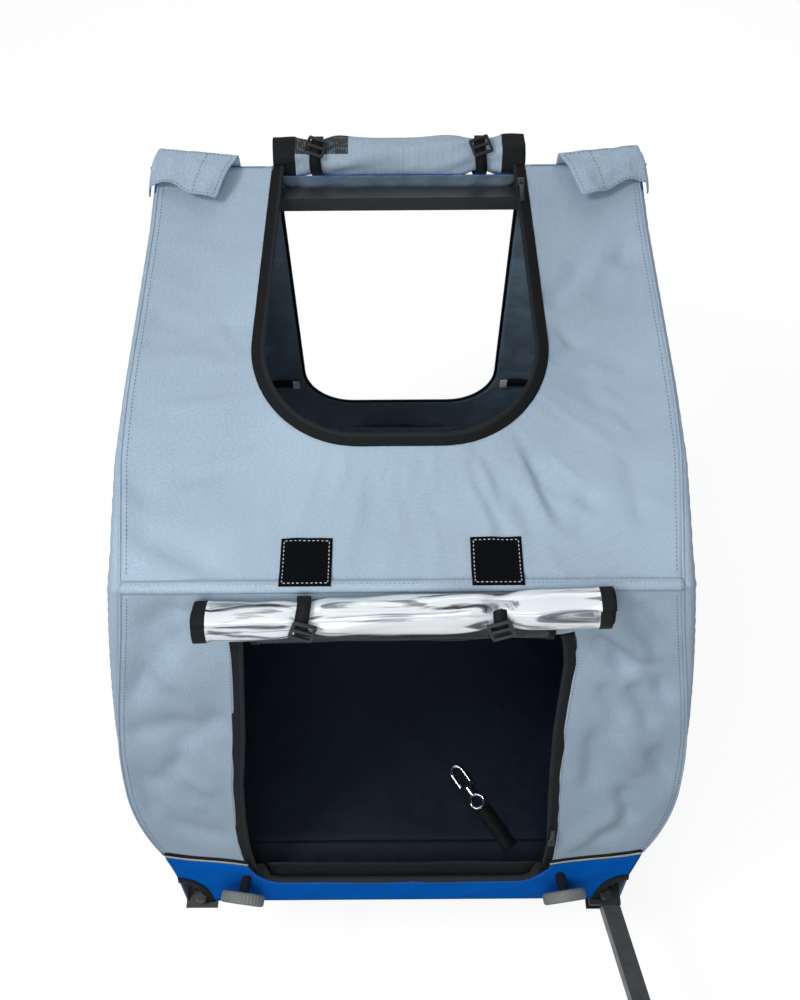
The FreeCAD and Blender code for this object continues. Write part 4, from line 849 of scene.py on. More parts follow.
def clear_film(name, colour):
    """Soft PVC film rolled up: many glossy layers, with painted reflection: a near-white colour with dark and
    grey streaks stands in for the bright sky and the dark surroundings that the film mirrors.
    """
    tree, solid, _ = open_material(name)
    # Painted reflection in streaks 200 mm long and 19 mm wide.
    lengths = [1 / mm(200), 1 / mm(19.23), 1 / mm(19.23)]
    stretch = put(tree, "ShaderNodeMapping", {"Vector": solid, "Scale": lengths})
    bent = {"Vector": (stretch, "Vector"), "Scale": 1.0, "Detail": 4.0, "Distortion": 2.4}
    painted_reflection = put(tree, "ShaderNodeTexNoise", bent)
    # Painted reflection: dark grey, mid grey and near-white stops for what the film mirrors.
    stops = ((0.33, rgba(linear("#2f3338"))), (0.41, rgba(linear("#8b9298"))), (0.47, rgba(colour)))
    shade = put(tree, "ShaderNodeValToRGB", {"Fac": (painted_reflection, "Fac")}, stops)
    # Crinkles a little closer together than the streaks.
    cells = {"Vector": (stretch, "Vector"), "Scale": 1.4}
    crinkle = put(tree, "ShaderNodeTexVoronoi", cells, feature="SMOOTH_F1")
    crinkled = {"Height": (crinkle, "Distance"), "Strength": 0.5, "Distance": mm(3.0)}
    bump = put(tree, "ShaderNodeBump", crinkled)
    close_material(tree, {
        "Base Color": (shade, "Color"),
        "Normal": (bump, "Normal"),
        "Roughness": 0.08,
        "IOR": 1.53,
        "Coat Weight": 0.6,
        "Coat Roughness": 0.04,
        "Transmission Weight": 0.12,
    })


def open_mesh(name, colour, pitch):
    """Knitted polyester mesh: dark threads round small holes."""
    tree, _, sheet = open_material(name)
    net = {"Vector": sheet, "Scale": 1 / pitch, "Randomness": 0.15}
    cells = put(tree, "ShaderNodeTexVoronoi", net)
    threads = put(tree, "ShaderNodeMath", {0: (cells, "Distance"), 1: 0.33}, operation="GREATER_THAN")
    shade = put(tree, "ShaderNodeValToRGB", {"Fac": (cells, "Distance")}, two_tone(colour, 0.6, 1.8))
    close_material(tree, {"Base Color": (shade, "Color"), "Alpha": (threads, "Value"), "Roughness": 0.6})


def loop_pile(name, colour):
    """Loop tape: a close nap of nylon loops of 1.4 mm that takes the light softly."""
    tree, solid, _ = open_material(name)
    nap = put(tree, "ShaderNodeTexNoise", {"Vector": solid, "Scale": 1 / mm(1.43), "Detail": 3.0})
    # Painted shade: the colour follows the nap, darker between the loops and lighter on their tops.
    shade = put(tree, "ShaderNodeValToRGB", {"Fac": (nap, "Fac")}, two_tone(colour, 0.5, 1.7, 0.4))
    bump = put(tree, "ShaderNodeBump", {"Height": (nap, "Fac"), "Strength": 0.9, "Distance": mm(0.8)})
    close_material(tree, {
        "Base Color": (shade, "Color"),
        "Normal": (bump, "Normal"),
        "Roughness": 0.95,
        "Specular IOR Level": 0.1,
    })


def tyre_rubber(name, colour):
    """Tyre rubber: matt black with a tread of 9 mm blocks across the crown."""
    tree, solid, _ = open_material(name)
    tread = {"Vector": solid, "Scale": 1 / mm(9)}
    blocks = put(tree, "ShaderNodeTexVoronoi", tread, distance="CHEBYCHEV")
    edge = put(tree, "ShaderNodeMapRange", {"Value": (blocks, "Distance"), 1: 0.35, 2: 0.55, 3: 1.0, 4: 0.0})
    # Painted shade: the grooves between the tread blocks are coloured darker and the block tops lighter.
    shade = put(tree, "ShaderNodeValToRGB", {"Fac": (edge, "Result")}, two_tone(colour, 0.6, 1.3))
    bump = put(tree, "ShaderNodeBump", {"Height": (edge, "Result"), "Strength": 0.8, "Distance": mm(1.5)})
    close_material(tree, {"Base Color": (shade, "Color"), "Normal": (bump, "Normal"), "Roughness": 0.8})


class TRAILER_OT_finishes(bpy.types.Operator):
    """Makes the materials and gives the rigid frame parts theirs"""

    bl_idname = "trailer.finishes"
    bl_label = "Finishes"

    def execute(self, context):
        colours = context.scene.trailer_colours
        coated_cloth(GREY, colours.grey_cloth, 0.6, 0.06, 0.08, 0.35)
        coated_cloth(BLUE, colours.blue_cloth, 0.75, 0.05, 0.0, 0.04)
        # Painted light: the lining's colour is paler than its own navy, for the light inside the cabin.
        coated_cloth(LINING, colours.lining_with_painted_light, 0.45, 0.12, 0.0, 0.5, rumple=0.8)
        coated_cloth(MAT, colours.floor_cloth, 0.55, 0.15, 0.0, 0.15, rumple=0.8)
        woven_tape(ZIP_TAPE, colours.black_tape, mm(1.4), False)
        woven_tape("nylon zip coil", linear("#1b2023"), mm(2.2), True)
        woven_tape(WEBBING, colours.black_tape, mm(1.8), True)
        # Painted shade: a darker copy of the black webbing, for the tether strap that lies in the cabin's
        # shade.
        woven_tape("nylon webbing with painted shade", linear("#04060a"), mm(1.8), True)
        woven_tape("woven label tape, white", linear("#e6e9ea"), mm(1.2), False)
        moulded("polyester thread, pale", colours.pale_thread, 0.7, mm(0.6), mm(0.1))
        moulded(DARK_THREAD, colours.dark_thread, 0.7, mm(0.6), mm(0.1))
        moulded(SILVER_TAPE_AND_PAINTED_GLINT, colours.silver_band, 0.35, mm(0.8), mm(0.1))
        clear_film("PVC film, rolled, with painted reflection", colours.clear_film)
        open_mesh(MESH, linear("#24282b"), mm(2.6))
        loop_pile("nylon loop tape", linear("#070b10"))
        moulded("moulded rubber, grey", colours.grey_rubber, 0.62, mm(1.2), mm(0.3))
        moulded("moulded rubber, black", linear("#202224"), 0.6, mm(1.2), mm(0.3))
        moulded(NYLON, linear("#191b1d"), 0.42, mm(0.7), mm(0.15))
        moulded("moulded board, black", linear("#17191c"), 0.6, mm(2), mm(0.3))
        tyre_rubber("tyre rubber", linear("#1c1d1e"))
        coated_metal("powder-coated steel, black", colours.black_coat, 0.42)
        coated_metal("powder-coated steel, grey", colours.grey_coat, 0.4)
        coated_metal("powder-coated steel, bracket", linear("#232527"), 0.38)
        bright_metal("chrome plate", linear("#cfd3d6"), 0.12, False)
        bright_metal("zinc-plated steel", linear("#a9adb0"), 0.3, True)
        bright_metal("brushed aluminium", linear("#b9bdc0"), 0.34, True)
        finishes = {
            "black_tube": "powder-coated steel, black",
            "tow_tube": "powder-coated steel, grey",
            "black_bracket": "powder-coated steel, bracket",
            "bright_bolt": "chrome plate",
            "steel": "zinc-plated steel",
            "alloy": "brushed aluminium",
            "hub_plastic": NYLON,
            "board": "moulded board, black",
            "black_plastic": NYLON,
            "black_rubber": "moulded rubber, black",
            "grey_rubber": "moulded rubber, grey",
            "tyre_rubber": "tyre rubber",
        }
        for row in frame["record"]["subparts"]:
            finish = finishes.get(row["material_slot"])
            if finish:
                mesh = frame["nodes"][row["node"]].data
                mesh.materials.clear()
                mesh.materials.append(bpy.data.materials[finish])
        return {"FINISHED"}


def hem_under(name, edge, inward, steps, flat, rests_on, flip=False):
    """A blue hem that turns in under the base tubes, in steps of (in, down) millimetres from an edge."""
    rows = [[p + inward * mm(step) - Vector((0, 0, mm(drop))) for p in edge] for step, drop in steps]
    hem = cloth_from_rows(name, rows, [BLUE, LINING], mm(0.8), flip=flip)
    declare_cloth(hem, *flat, "stretched", [rests_on])
    on_base(hem, "blue_cloth")


class TRAILER_OT_front_cover(bpy.types.Operator):
    """Makes the grey front panel round the door and the blue sill under it"""

    bl_idname = "trailer.front_cover"
    bl_label = "Front cover"

    def execute(self, context):
        sizes = context.scene.trailer_sizes
        grow = sizes.tape_width - mm(1)
        self.panel(sizes, grow)
        self.sill(sizes, grow)
        edge = [Vector((x, FRONT_Y, BASE_Z)) for x in between(-HEM_HALF, HEM_HALF, 60)]
        steps = ((0, 0), (3, 1.6), (10, 2.4), (18, 2.4), (26, 2.2))
        hem_under("sill_hem", edge, Vector((0, 1, 0)), steps, (0.46, 0.03), "cross_tubes", flip=True)
        return {"FINISHED"}

    @staticmethod
    def panel(sizes, grow):
        """The grey cloth from the door's zip out to the sides and the front seam."""
        inner, outer = [], []
        for side, order in ((-1, 1), (1, -1)):
            rises = between(sill_rise(mm(180)), DOOR_HEAD_RISE, 60)
            inner.append([(side * (door_edge(side, rise) + grow), rise) for rise in rises][::order])
            rises = between(sill_rise(mm(290)), SEAM_RISE, 60)
            outer.append([(side * (half_width(rise) - turn_in(rise)), rise) for rise in rises][::order])
        head_in = [(x, DOOR_HEAD_RISE) for x in between(inner[0][-1][0], inner[1][0][0], 80)]
        head_out = [(x, SEAM_RISE) for x in between(outer[0][-1][0], outer[1][0][0], 80)]

        def shape(x, rise, near):
            near = min(near, max(rise - sill_rise(x), 0))
            side, strength = ("right", 0.7) if x < 0 else ("left", 1.0)
            lift = crease(front_point(x, rise), CREASE_SEEDS["front " + side], sizes.front_crease * strength)
            lift += folded(x, rise, FRONT_FOLDS)
            return front_point(x, rise) + FRONT_OUT * lift * ease(near / mm(22))

        rows = rows_between(inner[0] + head_in + inner[1], outer[0] + head_out + outer[1], 30, shape)
        rows = smoothed(slackened(rows, 0.02), turns=3)
        made = cloth_from_rows("front_cover", rows, [GREY, LINING], sizes.cloth)
        declare_cloth(made, 0.612, 0.44, "stretched", ["front_crossbar"])
        on_cover(made, "grey_cloth", ["front_panel"])

    @staticmethod
    def sill(sizes, grow):
        """The blue cloth under the door, cut round at the corner brackets, where webbing binds it."""
        outer_rise = sill_rise(mm(290))
        corner = (half_width(outer_rise), outer_rise)
        path = [(x, rise) for x, rise in door_path(grow) if rise <= sill_rise(x)]
        top = outline_run([(-corner[0], corner[1]), path[0]], mm(4)) + path[1:-1]
        top += outline_run([path[-1], corner], mm(4))
        notch, tall = mm(37), mm(46)
        wide = half_width(tall)
        low = [(-wide + notch * math.sin(a), tall * math.cos(a)) for a in between(0, math.pi / 2, 14)]
        low += [(-x, rise) for x, rise in reversed(low)]

        def shape(x, rise, near):
            lift = crease(front_point(x, rise), CREASE_SEEDS["sill"], mm(3.0))
            return front_point(x, rise) + FRONT_OUT * lift * ease(near / mm(14))

        rows = rows_between(spread_evenly(low, 150), spread_evenly(top, 150), 14, shape)
        made = cloth_from_rows("front_sill_cover", rows, [BLUE, LINING], sizes.cloth)
        declare_cloth(made, 0.55, 0.09, "stretched", ["cross_tubes"])
        on_cover(made, "blue_cloth", ["front_sill"])
        for label, side in SIDES:
            path = []
            for angle in between(0, math.pi / 2, 18):
                path.append(front_point(side * (wide - notch * math.sin(angle)), tall * math.cos(angle)))
            flat = strip_profile(-7, 3, 0.4, 1.6) if side > 0 else strip_profile(-3, 7, 0.4, 1.6)
            made = sweep(label + "_corner_binding", path, FRONT_OUT, flat, [WEBBING])
            on_cover(made, "webbing")


class TRAILER_OT_roof_and_rear(bpy.types.Operator):
    """Makes the grey roof round its window and the rear panel round its opening"""

    bl_idname = "trailer.roof_and_rear"
    bl_label = "Roof and rear"

    def execute(self, context):
        sizes = context.scene.trailer_sizes
        self.roof(sizes)
        self.rear(sizes)
        edge = [Vector((x, REAR_Y, BASE_Z)) for x in between(-HEM_HALF, HEM_HALF, 60)]
        steps = ((0, 0), (3, 1.6), (10, 2.4), (22, 2.2))
        hem_under("rear_hem", edge, Vector((0, -1, 0)), steps, (0.46, 0.026), "cross_tubes")
        return {"FINISHED"}

    @staticmethod
    def roof(sizes):
        """The grey cloth from the roof window's zip out to the sides and the front seam."""
        middle = ROOF_RUN * 0.62
        runs = [ROOF_RUN * (1 - i / 80) for i in range(81)]
        outline = [(roof_turn(run) - roof_half(run), run) for run in runs]
        outline += [(outline[-1][0] * (1 - i / 45), 0) for i in range(1, 91)]
        outline += [(-x, run) for x, run in reversed(outline[:80])]
        loop = roof_window_loop(sizes.tape_width - mm(1))
        inner = []
        for x, run in outline:
            if run >= middle:
                inner.append(ray_to_loop(loop + [(0, ROOF_RUN + mm(1))], (0, run), (x, run)))
            else:
                inner.append(ray_to_loop(loop, (0, middle), (x, run)))

        def shape(x, run, near):
            near = min(near, ROOF_RUN - run)
            lift = crease(roof_point(x, run), CREASE_SEEDS["roof"], sizes.roof_crease)
            lift += folded(x, run, ROOF_FOLDS)
            return roof_point(x, run) + ROOF_OUT * lift * ease(near / mm(26))

        rows = smoothed(slackened(rows_between(inner, outline, 30, shape), 0.009), turns=2)
        made = cloth_from_rows("roof_cover", rows, [GREY, LINING], sizes.cloth, flip=True)
        declare_cloth(made, 0.575, 0.492, "stretched", ["rear_crossbar", "front_crossbar"])
        on_cover(made, "grey_cloth", ["roof_panel"])

    @staticmethod
    def rear(sizes):
        """The blue cloth round the rear window, whose edge is bound with webbing."""
        half = [(half_width(rise), rise) for rise in between(0, TOP_RISE, 40)]
        # Between the arms of the roof the rear edge lies lower, under the rolled flap.
        half += [(mm(150), TOP_RISE), (mm(143), TOP_RISE - mm(13))]
        corners = half + [(-x, rise) for x, rise in reversed(half)]
        outline = outline_run(corners + corners[:1], mm(8))[:-1]
        loop = rear_window_loop()
        inner = [ray_to_loop(loop, (0, TOP_RISE * 0.62), p) for p in outline]

        def shape(x, rise, near):
            flat = rear_point(x, rise)
            lift = crease(flat, CREASE_SEEDS["rear"], sizes.side_crease)
            return flat + REAR_OUT * (lift - mm(1.0)) * ease(near / mm(40))

        rows = slackened(rows_between(inner, outline, 30, shape), 0.012, closed=True, frames=16)
        made = cloth_from_rows("rear_cover", rows, [BLUE, LINING], sizes.cloth, closed=True)
        declare_cloth(made, 0.612, 0.598, "stretched", ["rear_posts"])
        on_cover(made, "blue_cloth", ["rear_panel"])
        edge = resample([rear_point(x, rise) for x, rise in loop], mm(6))
        flat = in_metres([(-5, 0.2), (-5, 1.4), (4, 1.4), (4, -2.0), (2, -2.0), (2, 0.2)])
        made = sweep("rear_binding", edge, REAR_OUT, flat, [WEBBING])
        on_cover(made, "webbing")


class TRAILER_OT_sides(bpy.types.Operator):
    """Makes the blue side panels with a gathered grey strip along the front and the roof"""

    bl_idname = "trailer.sides"
    bl_label = "Sides"

    def execute(self, context):
        sizes = context.scene.trailer_sizes
        for label, side in SIDES:
            self.panel(sizes, label, side)
            ys = between(FRONT_Y + mm(56), REAR_Y - mm(6), 60)
            edge = [Vector((side * half_width(0), y, BASE_Z)) for y in ys]
            steps = ((0, 0), (2, 1.6), (7, 2.4), (13, 2.2))
            inward = Vector((-side, 0, 0))
            hem_under(label + "_side_hem", edge, inward, steps, (0.607, 0.016), "base_rails", flip=side > 0)

            rises, runs = between(mm(93), SEAM_RISE, 60), between(0, ROOF_RUN, 50)[1:]
            edge = [front_point(side * (half_width(rise) - turn_in(rise)), rise) for rise in rises]
            edge += [roof_point(side * (roof_half(run) - roof_turn(run)), run) for run in runs]
            radius = mm(1.2)
            angles = [math.pi * k / 4 for k in range(8)]
            profile = [(radius * math.cos(a), radius * math.sin(a)) for a in angles]
            cord = sweep(label + "_seam_cord", edge, Vector((side, 0, 0)), profile, [GREY])
            on_cover(cord, "grey_cloth")
        return {"FINISHED"}

    @staticmethod
    def panel(sizes, label, side):
        """One side, with closer rows along the front and roof edges, where the strip turns in."""
        across_steps = [0.05 * i / 9 for i in range(9)] + [0.05 + 0.95 * i / 84 for i in range(85)]
        up_steps = [0.95 * i / 74 for i in range(75)] + [0.95 + 0.05 * i / 9 for i in range(1, 10)]
        rows, strips, fixed = [], [], set()
        for v in up_steps:
            row, marks = [], []
            for u in across_steps:
                rise = v * (SEAM_RISE + (TOP_RISE - SEAM_RISE) * u)
                front = FRONT_Y + LEAN * SEAM_RISE * v
                y = front + (REAR_Y - front) * u
                run = max(y - SEAM_Y, 0)
                from_front = (y - front) / math.sqrt(1 + LEAN**2)
                from_roof = SEAM_RISE + run * SLOPE - rise
                high = ease((rise - mm(250)) / mm(240))
                x = half_width(rise) + (roof_half(run) - mm(280)) * high
                inset = turn_in(rise) if from_front < from_roof else roof_turn(run)
                strip = min(from_front, from_roof)
                if inset > 0 and strip < inset:
                    x -= inset - math.sqrt(max(inset**2 - (inset - strip) ** 2, 0))
                near = min(strip - inset, REAR_Y - y, rise)
                flat = Vector((side * x, y, BASE_Z + rise))
                lift = crease(flat, CREASE_SEEDS["side"] + side * 3, sizes.side_crease) * ease(near / mm(40))
                row.append(flat + Vector((side * lift, 0, 0)))
                marks.append(strip if u < 0.93 or from_front < from_roof else 1.0)
                if strip < inset + mm(12):
                    fixed.add((len(rows), len(row) - 1))
            rows.append(row)
            strips.append(marks)
        rows = slackened(rows, 0.008, frames=16, fixed=fixed)
        for row, marks in zip(rows, strips):
            for i, strip in enumerate(marks):
                if 0 < strip < sizes.edge_strip:
                    along = row[i].z * 1.3 + row[i].y
                    wander = 3 * noise.noise(Vector((along * 9, side, 2)))
                    pucker = math.sin(along * 2 * math.pi / PUCKER + wander)
                    reach = math.sin(math.pi * strip / sizes.edge_strip)
                    row[i] = row[i] + Vector((side * mm(0.5) * pucker * reach, 0, 0))

        def pick(j, i):
            return 2 if strips[j][i] < sizes.edge_strip else 0

        cloths = [BLUE, LINING, GREY]
        made = cloth_from_rows(label + "_side_cover", rows, cloths, sizes.cloth, flip=side < 0, pick=pick)
        declare_cloth(made, 0.69, 0.63, "stretched", ["rear_posts", "front_posts"])
        on_cover(made, "blue_cloth", [label + "_side_panel"])


class TRAILER_OT_seams(bpy.types.Operator):
    """Makes the hem along the front seam and the stitch lines"""

    bl_idname = "trailer.seams"
    bl_label = "Seams and stitches"

    def execute(self, context):
        front, roof = bpy.data.objects["front_cover"], bpy.data.objects["roof_cover"]
        self.hem()
        outer = context.scene.trailer_sizes.tape_width + mm(2.6)
        door = door_path(outer)
        path = [front_point(x, rise) for x, rise in door if rise > sill_rise(x)]
        middle = len(path) // 2
        lines = [(laid_on(front, part, FRONT_OUT), FRONT_OUT) for part in (path[:middle], path[middle:])]
        path = resample([roof_point(x, run) for x, run in roof_window_loop(outer)], mm(6))
        lines.append((laid_on(roof, path, ROOF_OUT), ROOF_OUT))
        path = [front_point(x, rise) + FRONT_OUT * mm(0.2) for x, rise in door if rise <= sill_rise(x)]
        lines.append((path, FRONT_OUT))
        stitches = stitch_rows("zip_stitches", lines, DARK_THREAD)
        on_cover(stitches, "zip_tape")

        lines = []
        inset = mm(6)
        for _, side in SIDES:
            rises = between(mm(99), SEAM_RISE - mm(10), 60)
            path = [front_point(side * (half_width(rise) - turn_in(rise) - inset), rise) for rise in rises]
            lines.append((laid_on(front, path, FRONT_OUT), FRONT_OUT))
            runs = between(mm(14), ROOF_RUN - mm(6), 60)
            path = [roof_point(side * (roof_half(run) - roof_turn(run) - inset), run) for run in runs]
            lines.append((laid_on(roof, path, ROOF_OUT), ROOF_OUT))
        stitches = stitch_rows("edge_stitches", lines, DARK_THREAD)
        on_cover(stitches, "grey_cloth")
        return {"FINISHED"}

    @staticmethod
    def hem():
        """A strip folded over the seam between roof and front, with one line of stitches."""
        wide = roof_half(0) - mm(13)
        xs = between(-wide, wide, 120)
        rows = []
        for back, drop, lift in ((8, 0, -0.3), (4, 0, 0.7), (0, 0, 1.3), (0, 2.5, 1.3), (0, 4, 0.5)):
            row = []
            for x in xs:
                ripple = mm(0.5) * noise.noise(Vector((x * 22, 4.2, 0)))
                if drop:
                    row.append(front_point(x, SEAM_RISE - mm(drop)) + FRONT_OUT * (mm(lift) + ripple))
                elif back:
                    row.append(roof_point(x, mm(back)) + ROOF_OUT * (mm(lift) + ripple * 0.4))
                else:
                    row.append(roof_point(x, 0) + (ROOF_OUT + FRONT_OUT).normalized() * (mm(lift) + ripple))
            rows.append(row)
        made = cloth_from_rows("seam_hem", rows, [GREY, GREY], mm(0.9))
        declare_cloth(made, 0.536, 0.02, "stretched", ["front_crossbar"])
        on_cover(made, "grey_cloth")
        line = [roof_point(x, mm(4)) + ROOF_OUT * mm(0.9) for x in xs]
        stitches = stitch_rows("seam_stitches", [(line, ROOF_OUT)], DARK_THREAD, mm(0.5))
        on_cover(stitches, "grey_cloth")


class TRAILER_OT_zips(bpy.types.Operator):
    """Makes the zip tapes with their coils, and the two sliders"""

    bl_idname = "trailer.zips"
    bl_label = "Zips"

    def execute(self, context):
        rim = context.scene.trailer_sizes.tape_width * 1000 + 3
        coil = [(-1.4, -0.7), (-1.4, 0.3), (-0.6, 1.7), (2.4, 1.8), (3.4, 0.5)]
        profile = in_metres(coil + [(rim, -0.1), (rim, -0.9)])
        cloths = [ZIP_TAPE, "nylon zip coil"]
        for name, points, out in (
            ("door_zip", [front_point(x, rise) for x, rise in door_path(0)], FRONT_OUT),
            ("roof_zip", [roof_point(x, run) for x, run in roof_window_loop(0)], ROOF_OUT),
        ):
            path = resample(points, mm(4))
            made = sweep(name, path, out, profile, cloths, pick=lambda side: 1 if side in (1, 2, 3) else 0)
            on_cover(made, "zip_tape", [name + "_tape"])
        self.slider("roof_zip_slider", ROOF_OUT, ROOF_BACK * -1, -mm(10))
        self.slider("door_zip_slider", FRONT_OUT, FRONT_UP, -mm(6))
        return {"FINISHED"}

    @staticmethod
    def slider(node, out, forward, aside):
        """A slider's body, its bridge and the pull that hangs from it."""
        low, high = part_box(node)
        middle = (low + high) / 2 + Vector((aside, 0, 0))
        right = forward.cross(out).normalized()
        turn = Matrix((right, forward, out)).transposed()
        start = middle - forward * mm(9)
        blocks = [
            (start, (mm(4), mm(6), mm(1.6)), turn),
            (start + out * mm(2.2), (mm(1.2), mm(3.5), mm(0.9)), turn),
            (start + forward * mm(15) + out * mm(1.6), (mm(2.6), mm(11), mm(0.7)), turn),
        ]
        made = box_parts(node + "_body", blocks, NYLON, mm(0.6))
        on_cover(made, "black_plastic", [node], body=node.replace("_zip", ""))


class TRAILER_OT_sewn_pieces(bpy.types.Operator):
    """Makes the loop patches, shoulder flaps, silver piping, inner straps and pocket"""

    bl_idname = "trailer.sewn_pieces"
    bl_label = "Sewn pieces"

    def execute(self, context):
        lines = []
        for label, side in SIDES:
            lines += self.patch(label, side)
            self.flap(label, side)
            self.piping(label, side)
            self.strap(label, side)
        stitches = stitch_rows("patch_stitches", lines, "polyester thread, pale", mm(0.2))
        on_cover(stitches, "hook_tape")
        self.pocket()
        return {"FINISHED"}

    @staticmethod
    def patch(label, side):
        """A square of loop tape on the roof near the seam. Gives back the lines of its stitches."""
        half, count = mm(25), 13
        centre_x, centre_run = side * mm(92), mm(26.5)
        flats, lifts = [], []
        for j in range(count):
            for i in range(count):
                a, b = -1 + i / 6, -1 + j / 6
                lift = mm(2.0) - mm(0.8) * max(abs(a), abs(b)) ** 6
                lift += mm(0.3) * noise.noise(Vector((a * 3, b * 3, side)))
                lift += mm(2.6) * ease((mm(16) - centre_run - b * half) / mm(8))
                flats.append(roof_point(centre_x + a * half, centre_run + b * half))
                lifts.append(lift)
        spots = laid_on(bpy.data.objects["roof_cover"], flats, ROOF_OUT)
        points = [spot + ROOF_OUT * lift for spot, lift in zip(spots, lifts)]
        rows = [points[k : k + count] for k in range(0, count * count, count)]
        made = cloth_from_rows(label + "_loop_patch", rows, ["nylon loop tape", "nylon loop tape"], mm(1.2))
        declare_cloth(made, 0.05, 0.05, "laid", ["roof_cover"])
        on_cover(made, "hook_tape", ["loop_patches"])
        inner = half - mm(3)
        lines = []
        square = [(-1, -1), (1, -1), (1, 1), (-1, 1), (-1, -1)]
        for (ax, ay), (bx, by) in zip(square, square[1:]):
            path = [(ax + (bx - ax) * i / 8, ay + (by - ay) * i / 8) for i in range(9)]
            path = [roof_point(centre_x + x * inner, centre_run + y * inner) for x, y in path]
            lines.append((laid_on(made, path, ROOF_OUT), ROOF_OUT))
        return lines

    @staticmethod
    def flap(label, side):
        """A closing flap from the side over the rear corner, its hemmed end and front edge free."""
        rows = []
        count_u, count_v = 34, 22
        # Points before the first turn down over the outer and the rear edge.
        turn_u, turn_v = 6, 4
        for j in range(-turn_v, count_v + 1):
            row = []
            for i in range(-turn_u, count_u + 1):
                u, v = max(i / count_u, 0), max(j / count_v, 0)
                bow = math.sin(u * math.pi * 1.9)
                rear = Vector((side * mm(263 - 84 * u), REAR_Y + mm(1), ROOF_Z + mm(24 - 10 * u)))
                wave = mm(5) * bow * (1 - 0.3 * u)
                fore = roof_point(side * mm(274 - 72 * u), ROOF_RUN - mm(29) - mm(15) * u + wave)
                fore += ROOF_OUT * (mm(5) + mm(5) * bow**2)
                spot = rear.lerp(fore, v) + ROOF_OUT * mm(7) * math.sin(math.pi * v) * (1 - 0.35 * u)
                spot += ROOF_OUT * mm(2.4) * noise.noise(Vector((u * 5, v * 4, 9 + side)))
                if i < 0:
                    angle = -i / turn_u * math.pi / 2
                    spot += Vector((side * mm(7) * math.sin(angle), 0, -mm(15) * (1 - math.cos(angle))))
                if j < 0:
                    angle = -j / turn_v * math.pi / 2
                    spot += Vector((0, mm(5) * math.sin(angle), -mm(24) * (1 - math.cos(angle))))
                row.append(spot)
            rows.append(row)
        made = cloth_from_rows(label + "_shoulder_flap", rows, [GREY, GREY], mm(1.6), flip=side < 0)
        declare_cloth(made, 0.118, 0.08, "folded", ["roof_cover"])
        on_cover(made, "grey_cloth", ["shoulder_flaps"])
        lines = [[row[k] for row in rows[5:-1]] for k in (-3, -14)] + [rows[-2][7:-2], rows[5][7:-2]]
        stitches = stitch_rows(label + "_flap_stitches", [(line, ROOF_OUT) for line in lines], DARK_THREAD)
        on_cover(stitches, "grey_cloth")

    @staticmethod
    def piping(label, side):
        """Reflective piping between the grey panel and the blue sill: a silver band with black edges."""
        near, far = door_edge(side, mm(73)) + mm(9), half_width(mm(93)) - mm(2)
        points = []
        for i, x in enumerate(between(near, far, 40)):
            sag = mm(1.0) * math.sin(math.pi * i / 40 * 2)
            points.append(front_point(side * x, sill_rise(x) + sag))
        shape = [(-4.6, 0.2), (-4.6, 1.2), (-2.4, 1.5), (-2.0, 2.6)]
        shape = in_metres(shape + [(1.8, 2.6), (2.4, 1.5), (4.8, 1.2), (4.8, 0.2)])
        cloths = [WEBBING, SILVER_TAPE_AND_PAINTED_GLINT]
        name = label + "_sill_piping"
        made = sweep(name, points, FRONT_OUT, shape, cloths, pick=lambda s: 1 if s == 3 else 0)
        on_cover(made, "silver_tape", ["sill_piping"])

    @staticmethod
    def strap(label, side):
        """A short strap sewn inside the rear wall beside its window, with a white tab."""
        low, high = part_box("inner_straps")
        z = (low.z + high.z) / 2
        points = []
        for i, x in enumerate(between(REAR_WINDOW["half"] + mm(8), REAR_WINDOW["half"] + mm(66), 20)):
            points.append(Vector((side * x, low.y + mm(0.4), z + mm(1) * math.sin(i / 4))))
        shape = strip_profile(-7.5, 7.5, -0.6, 0.6)
        made = sweep(label + "_inner_strap", points, Vector((0, -1, 0)), shape, [WEBBING])
        on_cover(made, "webbing", ["inner_straps"])
        block = (points[1] + Vector((0, -mm(1.4), 0)), (mm(5), mm(0.8), mm(8)), Matrix.Identity(3))
        tab = box_parts(label + "_strap_tab", [block], "woven label tape, white", mm(0.5))
        on_cover(tab, "webbing")

    @staticmethod
    def pocket():
        """The top of a flat pocket on the rear wall, which gapes in the middle."""
        low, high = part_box("rear_pocket")
        rows = []
        for j in range(9):
            row = []
            for i in range(41):
                u, v = i / 40, j / 8
                gape = mm(3.2) * math.sin(math.pi * u) * v + mm(1.0) * noise.noise(Vector((u * 7, v * 2, 3)))
                x, z = low.x + (high.x - low.x) * u, low.z + (high.z - low.z) * v
                row.append(Vector((x, high.y - mm(1) - gape, z)))
            rows.append(row)
        made = cloth_from_rows("rear_pocket_cloth", rows, [LINING, LINING], mm(0.9))
        declare_cloth(made, 0.19, 0.02, "stretched", ["rear_cover"])
        on_cover(made, "lining_cloth", ["rear_pocket"])


